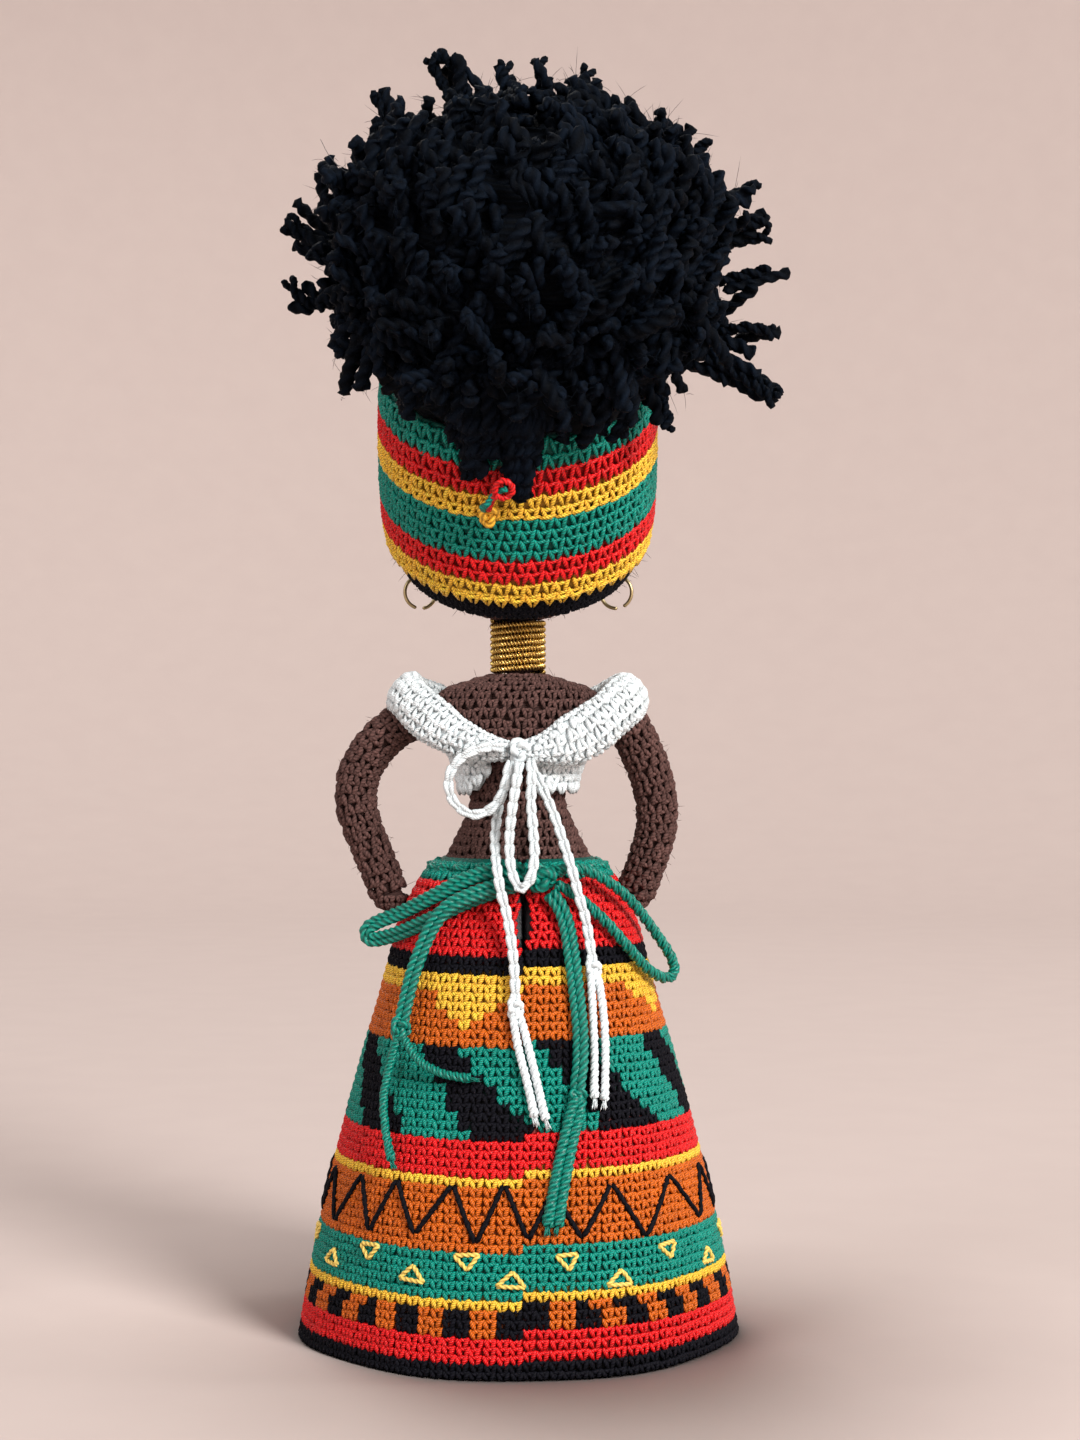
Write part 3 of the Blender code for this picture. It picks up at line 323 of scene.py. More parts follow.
def spots(place, rows, stitch, back=-math.pi / 2, arc=None, drift=0.0):
    """The stitches of a piece worked in rounds: each row holds as many as its length has room for.

    place is the surface, as a function of turn and row place; back is where the rows' stitches line up; arc
    is the first and last turn of rows that don't go all round; drift is how far each row's stitches lie
    beside the last row's, as a share of a stitch. Returns a table of centres, directions across, up and
    out, widths, rises, turns and row numbers.
    """
    rows = np.asarray(rows, float)
    start, stop = arc or (back - math.pi, back + math.pi)
    ring = place(np.linspace(start, stop, 97)[None], rows[:, None])
    length = lengths(ring)[:, -1]
    counts = np.maximum(4, np.round(length / stitch)).astype(int)
    row = np.repeat(np.arange(len(rows)), counts)
    index = np.arange(len(row)) - np.repeat(np.cumsum(counts) - counts, counts)
    shift = drift * row % 1
    share = (index + 0.5 + (shift - 0.5) * (drift != 0)) / counts[row]
    if not arc:
        share = (index - counts[row] // 2 + shift) / counts[row] + 0.5
    turn = start + (stop - start) * share
    return spot_table(place, turn, rows[row], row, length[row] / counts[row], np.gradient(rows)[row])


def spot_table(place, turn, along, row, width, step):
    """Centres and directions at given turns and row places, from small differences of the surface."""
    small = 1e-4
    across = unit(place(turn + small, along) - place(turn - small, along))
    up = (place(turn, along + small * step) - place(turn, along - small * step)) / (2 * small)
    rise = np.linalg.norm(up, axis=-1)
    out = unit(np.cross(across, up))
    return {"centre": place(turn, along), "across": across, "up": np.cross(out, across), "out": out,
            "width": width, "rise": rise, "turn": turn, "row": row}


def sweep(paths, outward, wide, thick, sides=8, tint=(0.8, 0.8, 0.8), lobes=0, depth=0.0, pitch=0.002):
    """Strands: closed oval tubes along their paths, shaped (strand, point, 3).

    A point is the path's, plus the side direction times wide times the cosine of the turn, plus the outward
    direction times thick times the sine. With lobes, that is swelled by depth times the cosine of lobes
    times the turn, which itself turns once in each pitch, as plies do. A path's two end points are tips.
    """
    ahead = unit(np.gradient(paths, axis=1))
    side = unit(np.cross(np.broadcast_to(outward, paths.shape), ahead))
    up = np.cross(ahead, side)
    along = lengths(paths) / pitch
    turn = 2 * math.pi * np.arange(sides) / sides
    depth = np.broadcast_to(depth, paths.shape[:2])[..., None]
    swell = 1 + depth * np.cos(lobes * (turn - 2 * math.pi * along[..., None]))
    wide = np.broadcast_to(wide, paths.shape[:2])[..., None] * swell * np.cos(turn)
    thick = np.broadcast_to(thick, paths.shape[:2])[..., None] * swell * np.sin(turn)
    rings = paths[:, :, None] + wide[..., None] * side[:, :, None] + thick[..., None] * up[:, :, None]
    tint = np.asarray(tint)
    tint = tint[:, None, None] if tint.ndim == 2 else tint
    tint = tint[:, 1:-1, None] if tint.ndim == 3 and tint.shape[1] == paths.shape[1] else tint
    return skinned(rings[:, 1:-1], paths[:, [0, -1]], tint, along[:, 1:-1])


# The strands of a stitch: where each starts and ends across and up, as shares of its width and rise. Two legs
# make a V whose point hangs into the round below, and a bar lies behind their tops.
STITCH_LEGS = (((-0.47, 0.47), (-0.04, -0.86)), ((0.47, 0.53), (0.06, -0.90)))
STITCH_BAR = ((-0.50, 0.10), (0.50, 0.36))
STITCH = STITCH_LEGS + (STITCH_BAR,)


def crochet(table, tint, lift, rng, plump=(0.205, 0.19), strands=STITCH, pitch=0.0011, loose=0.035):
    """Single crochet over a table of stitches: for each strand, a short path that bows outwards by lift.

    The legs narrow to the hole that they come out of. A strand's tint is painted lighter where it stands proud,
    as a painted highlight, and darker where it goes in, as painted shade. Each stitch is also a little askew as a
    whole.
    """
    count = len(table["turn"])
    tint = np.broadcast_to(tint, (count, 3))
    shapes = []
    askew = rng.normal(0, 1.2 * loose, (count, 3, 1))
    share = np.array([0, 0.10, 0.5, 0.90, 1])
    width, rise = table["width"][:, None], table["rise"][:, None]
    for start, end in strands:
        level = abs(start[1] - end[1]) < 0.5
        wobble = rng.normal(0, loose, (count, 5, 1))
        x = start[0] + (end[0] - start[0]) * share + wobble[:, 0] + askew[:, 0]
        y = start[1] + (end[1] - start[1]) * share + wobble[:, 1] + askew[:, 1] + askew[:, 2] * x
        bow = np.sin(math.pi * (0.18 + 0.62 * share)) * (0.85 if level else 1.15) + wobble[:, 2]
        paths = (table["centre"][:, None] + (x * width)[..., None] * table["across"][:, None]
                 + (y * rise)[..., None] * table["up"][:, None] + (lift * bow)[..., None] * table["out"][:, None])
        swell = np.array([1, 0.78, 1, 0.78, 1] if level else [1, 0.84, 1, 0.46, 1]) * (1 + wobble[:, 3])
        swell = (0.9 if level else 1) * width * swell
        # proud paints the tint: a painted highlight at the strand's middle and painted shade at its ends.
        proud = np.array([0.7, 0.8, 1.3, 0.8, 0.7] if level else [0.8, 1.1, 1.15, 0.66, 0.5])
        shade = np.clip(tint[:, None] * (proud * (1 + 1.6 * wobble[:, 4]))[..., None], 0, 1)
        shapes.append(sweep(paths, table["out"][:, None], plump[0] * swell, plump[1] * swell, 5, shade, pitch=pitch))
    return joined(*shapes)


def fuzz(places, outward, count, reach, tint, rng, thickness=0.000028):
    """Loose fibres that stand off a worked surface: each starts at one of its places and curls away."""
    pick = rng.integers(0, len(places), count)
    way = unit(outward[pick] + rng.normal(0, 1.1, (count, 3)))
    bend = rng.normal(0, 0.8, (count, 3))
    length = reach * rng.uniform(0.4, 1, (count, 1, 1))
    t = np.linspace(0, 1, 6)[:, None]
    start = places[pick] + rng.normal(0, 0.0004, (count, 3))
    paths = start[:, None] + length * (way[:, None] * t + bend[:, None] * t * t)
    return sweep(paths, (0.3, 0.2, 0.9), thickness, thickness, 4, tint)


def lining(place, rows, sides, sink, tint):
    """The closed ground under the stitches: the same surface drawn in by sink, its ends closed by a point."""
    turn = 2 * math.pi * np.arange(sides) / sides
    rows = np.asarray(rows, float)
    grid = place(turn[None], rows[:, None])
    middle = grid.mean(1, keepdims=True)
    grid = grid + unit(middle - grid) * sink
    tips = grid[[0, -1]].mean(1)[None]
    return skinned(grid[None], tips, tint)


def yarn(name, plies=2, rough=0.75, painted_groove_shade=0.35, fibre=0.25, gloss=0.35, relief=0.00022, fibre_size=2600.0):
    """Spun yarn: tint from its own attribute, plies that wind round the strand, and fine fibres."""
    made, shader, wires = finish(name, Specular_IOR_Level=gloss)
    strand = wires.node("SeparateXYZ", {}, {0: wires.node("UVMap", {"uv_map": "strand"}, {})})
    turn = Wire(made.node_tree, strand.output.node.outputs[1])
    ply = ((turn - strand) * plies).wave()
    place = wires.node("TexCoord", {}, {}, 3)
    fibres = wires.node("TexNoise", {}, {"Vector": place, "Scale": fibre_size, "Detail": 3.0, "Roughness": 0.7})
    cloud = wires.node("TexNoise", {}, {"Vector": place, "Scale": 220.0, "Detail": 1.0})
    tint = wires.node("Attribute", {"attribute_name": "tint"}, {}, 0)
    # The tint is painted lighter on the plies' tops as a painted highlight and darker in the grooves between them as
    # painted shade; the fibres and the cloud vary its tone at random.
    shade = (1.15 - painted_groove_shade * (1.15 - ply)) * (1 - fibre * 0.5 + fibre * fibres) * (0.88 + 0.24 * cloud)
    lead(shader, {
        "Base Color": tint.scaled(shade),
        "Roughness": rough + 0.25 * (fibres - 0.5),
        "Normal": wires.node("Bump", {}, {"Height": ply * 0.5 + fibres * 0.7, "Strength": 0.55, "Distance": relief}),
    })
    return made


brown_wool = yarn("brown_wool", plies=2, rough=0.92, painted_groove_shade=0.45, fibre=0.55, gloss=0.12)
torso_place, torso_length = turned(smooth(TORSO_PROFILE, 6))
rng = np.random.default_rng(11)
torso_rows = np.arange(0.0009, torso_length, 0.00142)
torso_table = spots(torso_place, torso_rows, WOOL_STITCH, drift=0.45)
# The loose fibres are tinted lighter than the wool as painted sheen, and the ground under the stitches darker as
# painted shade.
torso = joined(
    crochet(torso_table, BROWN, 0.00034, rng, (0.235, 0.235), loose=0.06),
    fuzz(torso_table["centre"], torso_table["out"], 700, 0.0010, np.multiply(BROWN, 1.3), rng),
    lining(torso_place, np.linspace(0, torso_length, 60), 48, 0.00025, np.multiply(BROWN, 0.5)),
)
placed("torso_work", torso, brown_wool, ["torso"])

# Neck winding: a stick inside the neck holds the head, and gold metallic thread is wound over the neck in
# close turns, its end tucked under.
WINDING_FOOT = 0.0980
WINDING_TURNS = 8.5
WINDING_PITCH = 0.00092
WINDING_REACH = 0.00372
WINDING_RADIUS = 0.00041


def helix(turns, pitch, reach, foot, steps=40):
    """A path whose place is (reach cosine, reach sine, foot plus pitch for each turn)."""
    turn = np.linspace(0, turns, int(turns * steps))
    angle = 2 * math.pi * turn
    return np.stack([reach * np.cos(angle), reach * np.sin(angle), foot + pitch * turn], -1)


wound = helix(WINDING_TURNS, WINDING_PITCH, WINDING_REACH, WINDING_FOOT, 260)
gold_thread, gold_shader, wires = finish("gold_thread", Metallic=1.0)
strand = wires.node("SeparateXYZ", {}, {0: wires.node("UVMap", {"uv_map": "strand"}, {})})
ply = ((Wire(gold_thread.node_tree, strand.output.node.outputs[1]) - strand) * 2).wave()
place = wires.node("TexCoord", {}, {}, 3)
cells = wires.node("TexVoronoi", {}, {"Vector": place, "Scale": 3400.0}, 1)
flakes_and_glints = wires.node("SeparateXYZ", {}, {0: cells})
# The base colour is painted dark in the grooves between the two plies as painted shade, and light on the flakes as
# painted glints.
lead(gold_shader, {
    "Base Color": (ply * 0.5 + flakes_and_glints * flakes_and_glints * 0.5).mix((0.16, 0.06, 0.008, 1), (1.0, 0.72, 0.22, 1)),
    "Roughness": 0.38 - 0.18 * flakes_and_glints,
    "Normal": wires.node("Bump", {}, {"Height": ply + flakes_and_glints * 0.5, "Strength": 0.8, "Distance": 0.00012}),
})
neck_core = np.stack([np.zeros(6), np.zeros(6), np.linspace(0.0968, NECK_TOP, 6)], -1)
placed("neck_wound", sweep(wound[None], wound[None] * (1, 1, 0), WINDING_RADIUS, WINDING_RADIUS, 9,
                           lobes=2, depth=0.22, pitch=0.0010), gold_thread, ["neck_winding"])
wood, wood_shader, wires = finish("plain_wood", Roughness=0.7)
rings = wires.node("TexWave", {}, {"Vector": wires.node("TexCoord", {}, {}, 3), "Scale": 900.0, "Distortion": 4.0})
lead(wood_shader, {"Base Color": rings.mix((0.42, 0.27, 0.13, 1), (0.60, 0.42, 0.22, 1))})
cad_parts["neck_stick"].data.materials.clear()
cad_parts["neck_stick"].data.materials.append(wood)
# The wool under the winding is tinted darker as painted shade between the turns.
neck = sweep(neck_core[None], (1, 0, 0), 0.0031, 0.0031, 32, np.multiply(BROWN, 0.6))
placed("neck_cover", neck, brown_wool)

# Head: a crocheted ball, stuffed, with a plain embroidered face towards the front: closed eyes, a small worked
# nose and a mouth in straight stitches.
HEAD_HEIGHT = 0.1240
HEAD_RADIUS = 0.0186
EYE_TURN = 0.36
EYE_RISE = 0.02
MOUTH_DROP = -0.42
NOSE_PLACE = (0.0, 0.01895, 0.11996)


def ball_place(centre, radii):
    """A ball, by its turn and its angle up from the foot, in radians."""
    def place(turn, angle):
        return np.stack(np.broadcast_arrays(
            centre[0] + radii[0] * np.sin(angle) * np.cos(turn),
            centre[1] + radii[1] * np.sin(angle) * np.sin(turn),
            centre[2] - radii[2] * np.cos(angle)), -1)
    return place


head_place = ball_place((0, 0, HEAD_HEIGHT), (HEAD_RADIUS - 0.00075,) * 3)
head_rows = np.arange(0.20, 2.35, 0.00145 / HEAD_RADIUS)
rng = np.random.default_rng(12)
head_table = spots(head_place, head_rows, WOOL_STITCH, drift=0.45)
# No loose fibres where the rings swing.
inner = np.abs(head_table["centre"][:, 0]) < 0.0105
# The loose fibres are tinted lighter than the wool as painted sheen, and the ground under the stitches darker as
# painted shade.
head = joined(
    crochet(head_table, BROWN, 0.00024, rng, (0.235, 0.22), loose=0.05),
    fuzz(head_table["centre"][inner], head_table["out"][inner], 500, 0.0010, np.multiply(BROWN, 1.3), rng),
    lining(head_place, np.linspace(0.05, 3.09, 48), 64, 0.00025, np.multiply(BROWN, 0.5)),
)
placed("head_work", head, brown_wool, ["head"])


def on_ball(path, radius, lift):
    """A flat drawing of turns from the front and rises, in radians, laid on the head."""
    turn, rise = path[..., 0], path[..., 1]
    flat = np.cos(rise) * (radius + lift)
    return np.stack([flat * np.sin(turn), flat * np.cos(turn), HEAD_HEIGHT + (radius + lift) * np.sin(rise)], -1)


def drawn(strokes, thickness, tint, lift=0.00010, points=14):
    """Embroidery on the face: each stroke is a smooth line through its places, sewn as a twisted thread."""
    shapes = []
    for stroke in strokes:
        path = on_ball(even(smooth(stroke, 10), points), HEAD_RADIUS, lift)
        out = unit(path - (0, 0, HEAD_HEIGHT))
        path[[0, -1]] -= out[[0, -1]] * lift
        shapes.append(sweep(path[None], out[None], thickness, thickness * 0.8, 8, tint, 2, 0.2, 0.0016))
    return joined(*shapes)


EYE_ARC = ((-0.13, 0.035), (-0.07, -0.02), (0.0, -0.04), (0.07, -0.02), (0.13, 0.035))
LASHES = (((-0.13, 0.035), (-0.20, 0.0)), ((-0.075, -0.018), (-0.12, -0.075)), ((0.0, -0.04), (0.0, -0.10)),
          ((0.075, -0.018), (0.12, -0.075)), ((0.13, 0.035), (0.20, 0.0)))
BROW_ARC = ((-0.13, 0.16), (-0.04, 0.20), (0.06, 0.195), (0.13, 0.155))
MOUTH_ARCS = (((-0.13, 0.0), (-0.06, 0.025), (0.0, 0.012), (0.06, 0.025), (0.13, 0.0)),
              ((-0.13, 0.0), (-0.06, -0.035), (0.0, -0.048), (0.06, -0.035), (0.13, 0.0)),
              ((-0.09, -0.004), (0.0, -0.012), (0.09, -0.004)))
lines = []
for side in (-1, 1):
    middle = np.array([side * EYE_TURN, EYE_RISE])
    lines += [np.array(stroke) + middle for stroke in (EYE_ARC, BROW_ARC) + LASHES]
black_yarn = yarn("black_yarn", plies=2, rough=0.7, painted_groove_shade=0.5, fibre=0.5, gloss=0.08)
BLACK = (0.0045, 0.0045, 0.0075)
RED = (0.70, 0.008, 0.010)
placed("face_lines", drawn(lines, 0.00026, BLACK), black_yarn)
satin_yarn = yarn("satin_yarn", plies=2, rough=0.55, painted_groove_shade=0.4, fibre=0.25, gloss=0.45)
mouth = [np.array(stroke) + (0, MOUTH_DROP) for stroke in MOUTH_ARCS]
placed("face_mouth", drawn(mouth, 0.00030, (0.33, 0.022, 0.022)), satin_yarn)
nose_place = ball_place(NOSE_PLACE, (0.0012, 0.0006, 0.00096))
nose = joined(
    crochet(spots(nose_place, (0.5, 1.1, 1.7, 2.3), 0.0011), BROWN, 0.00012, rng, plump=(0.27, 0.2), strands=STITCH_LEGS),
    lining(nose_place, np.linspace(0.1, 3.0, 9), 16, 0.0, BROWN),
)
placed("nose_work", nose, brown_wool, ["nose"])

# Headband and nape: a stiff tube worked in stripes of cotton, its round closed at the back by a yarn knot. It
# leans back on the head, and a band of black yarn covers the nape below it.
HEAD_LEAN = math.radians(36)
BAND_RADIUS = 0.0203
BAND_WALL = 0.0012
BAND_LOW = -0.0058
BAND_HIGH = 0.0214
BAND_SHARES = ((0, 0.965), (0.14, 0.992), (0.36, 1), (0.65, 0.995), (0.88, 0.98), (1, 0.955))
GREEN = (0.0, 0.245, 0.185)
YELLOW = (0.96, 0.52, 0.045)
BAND_STITCH = 0.0022
# Each stripe: how high it starts along the band, its yarn and its count of rounds.
STRIPES = (
    (-0.0058, YELLOW, 2), (-0.0019, RED, 2), (0.0020, GREEN, 4), (0.0090, YELLOW, 2), (0.0127, RED, 2),
    (0.0170, GREEN, 2), (BAND_HIGH, GREEN, 0),
)
RIDGES = (-0.0050, 0.0092)
RIDGE_STRAND = (((-0.60, -0.14), (0.60, 0.14)),)


def leaned(points):
    """Points of the headband's own leaning frame, turned back and set on the head."""
    c, s = math.cos(HEAD_LEAN), math.sin(HEAD_LEAN)
    x, y, z = np.moveaxis(points, -1, 0)
    return np.stack([x, c * y - s * z, HEAD_HEIGHT + s * y + c * z], -1)


def band_reach(height):
    """The headband's outer radius at a height along its leaning axis."""
    shares, radii = zip(*BAND_SHARES)
    return BAND_RADIUS * np.interp((height - BAND_LOW) / (BAND_HIGH - BAND_LOW), shares, radii)


def band_place(turn, height, inset=0.0002):
    """The headband's surface: its radius at each height, carried round the leaning axis."""
    reach = band_reach(height) - inset
    return leaned(np.stack(np.broadcast_arrays(reach * np.cos(turn), reach * np.sin(turn), height), -1))


def stripe_tint(height):
    """The yarn of each stripe, by height along the leaning axis."""
    starts, tints, rounds = zip(*STRIPES)
    return np.array(tints)[np.maximum(np.searchsorted(starts, height, side="right") - 1, 0)]


def wall(outer, inner, tint_out, tint_in):
    """A closed tube wall: rings up the outside, then down the inside, shaped (ring, side, 3)."""
    rings = np.concatenate([outer, inner[::-1]])
    tint = np.concatenate([np.broadcast_to(tint_out, outer.shape), np.broadcast_to(tint_in, inner.shape)[::-1]])
    return skinned(rings[None], None, tint[None])


rng = np.random.default_rng(13)
cotton = yarn("cotton_yarn", plies=3, rough=0.40, painted_groove_shade=0.62, fibre=0.22, gloss=0.25)
band_rows = np.concatenate([
    low[0] + (high[0] - low[0]) * (np.arange(low[2]) + 0.5) / low[2] for low, high in zip(STRIPES, STRIPES[1:])])
band_table = spots(band_place, band_rows, BAND_STITCH, drift=0.12)
ridge_table = spots(band_place, RIDGES, BAND_STITCH)
ridge_table["rise"] = np.full(len(ridge_table["turn"]), 0.0015)
band_turns = 2 * math.pi * np.arange(128) / 128
band_levels = np.linspace(BAND_LOW, BAND_HIGH, 40)
# The wall under the stitches is tinted at half the stripes' yarn, as painted shade.
band_ground = np.broadcast_to(0.5 * stripe_tint(band_levels)[:, None], (40, 128, 3))
headband = joined(
    crochet(band_table, stripe_tint(band_rows)[band_table["row"]], 0.00030, rng, (0.175, 0.16), pitch=0.0014),
    crochet(ridge_table, YELLOW, 0.00062, rng, (0.16, 0.13), RIDGE_STRAND, 0.0014),
    wall(band_place(band_turns[None], band_levels[:, None], 0.0004),
         band_place(band_turns[None], band_levels[:, None], BAND_WALL), band_ground, band_ground),
)
placed("headband_work", headband, cotton, ["headband"])


def knot_shape(centre, radii, thickness, tint, across=(1, 0, 0), up=(0, 0, 1), strands=2):
    """A pulled knot: a strand that runs twice round while it winds three times through, as in a trefoil."""
    turn = np.linspace(0, 2 * math.pi, 90)
    reach = 1 + 0.5 * np.cos(3 * turn)
    across, up = unit(np.array(across, float)), unit(np.array(up, float))
    out = np.cross(across, up)
    flat = [(reach * np.cos(2 * turn), across, radii[0]), (reach * np.sin(2 * turn), up, radii[2]),
            (np.sin(3 * turn), out, radii[1])]
    path = np.array(centre) + sum(np.outer(value * radius, way) for value, way, radius in flat) * 0.55
    return sweep(path[None], unit(path - centre + 1e-6)[None], thickness, thickness, 8, tint, strands, 0.18, 0.0024)


knot_height = BAND_LOW + 0.59 * (BAND_HIGH - BAND_LOW)
knot_turn = -math.pi / 2 - 0.185
knot_centre = band_place(knot_turn, knot_height, -0.0010)
knot_up = leaned(np.array([0, 0, 1.0])) - leaned(np.zeros(3))
# The ends left over at the knot, by how far across, up the band and proud of it they lie: a red ring and a
# green end that runs through it.
RED_RING = (
    (0.0000, 0.0004, 0.0000), (0.0001, 0.0024, 0.0022), (0.0006, 0.0042, 0.0032), (0.0010, 0.0054, 0.0036),
    (0.0011, 0.0068, 0.0038), (0.0021, 0.0076, 0.0038), (0.0032, 0.0069, 0.0038), (0.0033, 0.0056, 0.0038),
    (0.0022, 0.0048, 0.0038), (0.0010, 0.0054, 0.0042),
)
GREEN_END = (
    (-0.0004, 0.0004, 0.0000), (-0.0009, 0.0022, 0.0020), (-0.0002, 0.0036, 0.0036), (0.0008, 0.0050, 0.0032),
    (0.0018, 0.0059, 0.0036), (0.0027, 0.0064, 0.0040),
)
band_frame = np.array([(1, 0, 0), knot_up, np.cross((1, 0, 0), knot_up)])
band_knot = joined(
    knot_shape(knot_centre, (0.0014, 0.0012, 0.0021), 0.00052, YELLOW, up=knot_up),
    sweep(smooth(knot_centre + RED_RING @ band_frame, 8)[None], (0, -1, 0), 0.00042, 0.00042, 8, RED, 2, 0.2, 0.0018),
    sweep(smooth(knot_centre + GREEN_END @ band_frame, 8)[None], (0, -1, 0), 0.00042, 0.00042, 8, GREEN, 2, 0.2, 0.0018),
)
placed("headband_tie", band_knot, cotton, ["headband_knot"])

NAPE_TOP = math.radians(109.5)
NAPE_LOW = math.radians(120)
NAPE_HALF_TURN = math.radians(95)


def nape_place(turn, angle):
    """The nape: a ball about the head, by turn from the back and by angle down from the leaning axis."""
    reach = HEAD_RADIUS + 0.0009
    flat = reach * np.sin(angle)
    return leaned(np.stack(np.broadcast_arrays(flat * np.sin(turn), -flat * np.cos(turn), reach * np.cos(angle)), -1))


rng = np.random.default_rng(14)
nape_rows = np.linspace(NAPE_LOW - 0.03, NAPE_TOP - 0.03, 4)
nape_turns = np.linspace(-NAPE_HALF_TURN, NAPE_HALF_TURN, 60)
section = np.array([(0.0000, NAPE_TOP), (0.0007, NAPE_TOP), (0.0007, NAPE_LOW), (0.0001, NAPE_LOW)])
nape_reach = HEAD_RADIUS + section[:, 0]
nape_ring = np.stack([nape_reach * np.sin(section[:, 1]), nape_reach * np.cos(section[:, 1])], -1)
nape_grid = leaned(np.stack([
    np.sin(nape_turns)[:, None] * nape_ring[:, 0], -np.cos(nape_turns)[:, None] * nape_ring[:, 0],
    np.broadcast_to(nape_ring[:, 1], (60, 4)),
], -1))
nape_table = spots(nape_place, nape_rows, 0.0016, arc=(-NAPE_HALF_TURN, NAPE_HALF_TURN))
# The loose fibres are tinted lighter than the black yarn as painted sheen, and the ground under the stitches darker as
# painted shade.
nape = joined(
    crochet(nape_table, BLACK, 0.0003, rng, plump=(0.27, 0.27)),
    fuzz(nape_table["centre"], nape_table["out"], 420, 0.0010, (0.02, 0.02, 0.025), rng),
    skinned(nape_grid[None], nape_grid[[0, -1]].mean(1)[None], np.multiply(BLACK, 0.6)),
)
placed("nape_work", nape, black_yarn, ["nape_hair"])

# Hair: a bundle of plied acrylic yarn, drawn through the headband and cut to an uneven pompom. The strands rise
# out of the band's mouth and fall outwards on all sides, and a lock at the back hangs over the rim.
HAIR_RADIUS = 0.0300
HAIR_HEIGHT = 0.0438
HAIR_PROFILE = (
    (1.00, 0.00), (0.98, 0.30), (0.93, 0.56), (0.84, 0.77), (0.70, 0.93), (0.54, 1.00), (0.36, 0.99),
    (0.20, 0.93), (0.09, 0.82), (0.00, 0.66),
)
HAIR_TINT = (0.0018, 0.0038, 0.0078)
HAIR_SHIFT = 0.0010
STRAND = 0.00084
rng = np.random.default_rng(15)
outline = smooth(np.array(HAIR_PROFILE) * (HAIR_HEIGHT, HAIR_RADIUS) + (BAND_HIGH, 0), 8)
outline_along = lengths(outline)
hair_middle = np.array([0, 0, BAND_HIGH + 0.42 * HAIR_HEIGHT])


def puff(turn, along, depth):
    """A place in the pompom: on its outline at a turn and a distance down from the top, drawn in by depth."""
    height, reach = (np.interp(along, outline_along, outline[:, k]) for k in (0, 1))
    lump = 1 + 0.03 * np.sin(5 * turn + 300 * height) + 0.025 * np.cos(3 * turn - 160 * height)
    skin_place = np.stack([reach * lump * np.cos(turn), reach * lump * np.sin(turn), height], -1)
    place = leaned(hair_middle + (skin_place - hair_middle) * depth[..., None]) + (HAIR_SHIFT, 0, 0)
    place[..., 2] -= 0.0024 * np.clip((place[..., 2] - 0.164) / 0.018, 0, 1)
    return place


def strands_over(count, bunches, ends, lay, points):
    """Strands in bunches, each coming up inside the pompom to end on its outline beside its bunch's others.

    The bunches are spread by the golden angle and by equal shares of the outline's area, and each has its own
    length, way and curl. A strand starts deep and lay nearer the foot than its end; the lowest ones droop.
    """
    area = np.concatenate([[0], np.cumsum(outline[1:, 1] * np.diff(outline_along))])
    middle = np.arange(bunches) + 0.5
    own = np.arange(count) % bunches
    low = np.interp(0.99 * middle / bunches, area / area[-1], outline_along)[own]
    low = np.abs(low + rng.normal(0, 0.0013, count))[:, None]
    wide = np.maximum(np.interp(low, outline_along, outline[:, 1]), 0.004)
    turn = math.pi * (3 - math.sqrt(5)) * middle[own][:, None] + rng.normal(0, 0.0013, (count, 1)) / wide
    share = low / outline_along[-1]
    way = rng.normal(0, 0.5, bunches)[own][:, None] + math.pi * (share > 0.78)
    t = np.linspace(0, 1, points)
    reach = (rng.uniform(*ends, bunches) + 0.05 * (rng.random(bunches) < 0.12))[own][:, None]
    reach = reach * rng.uniform(0.95, 1.02, (count, 1))
    back = lay * (1 - t) * rng.uniform(0.6, 1.3, bunches)[own][:, None]
    along = np.clip(np.abs(low + back * np.cos(way)), 0, outline_along[-1])
    depth = 0.62 + (reach - 0.62) * t**0.65
    path = puff(turn + back * np.sin(way) / wide, along, depth)
    phase = rng.uniform(0, 2 * math.pi, (bunches, 1, 3))[own] + rng.normal(0, 0.6, (count, 1, 3))
    waves = rng.uniform(0.6, 1.3, (bunches, 1, 3))[own]
    path = path + 0.0006 * np.sin(2 * math.pi * waves * t[:, None] + phase)
    path[..., 2] -= 0.0012 * t**3 * share
    return path


def hair_shape(path, thick=STRAND, sides=8, plies=2):
    """Strands of two plies wound round each other, of uneven thickness, cut blunt and coming apart at the end."""
    count, points = path.shape[:2]
    wide = thick * rng.uniform(0.82, 1.12, (count, 1)) * rng.normal(1, 0.02, (count, points))
    wide[:, -2:] *= (0.96, 0.86)
    path = path.copy()
    path[:, -1] = path[:, -2] + 0.5 * (path[:, -1] - path[:, -2])
    depth = 0.26 + 0.12 * np.clip(np.arange(points) - (points - 6), 0, 4) / 4
    shade = np.array(HAIR_TINT) * rng.uniform(0.6, 1.5, (count, 1))
    return sweep(path, (0.31, 0.2, 0.93), wide, wide, sides, shade, plies, depth * (plies > 0), 0.0042)


# The lock at the back, in three parts: the turn of its middle and its half spread in degrees, how far it
# hangs below the rim, and its count of strands.
LOCKS = ((253.5, 4.5, 0.0058, 16), (271.5, 5.0, 0.0094, 20), (262.0, 15.0, 0.0018, 26))


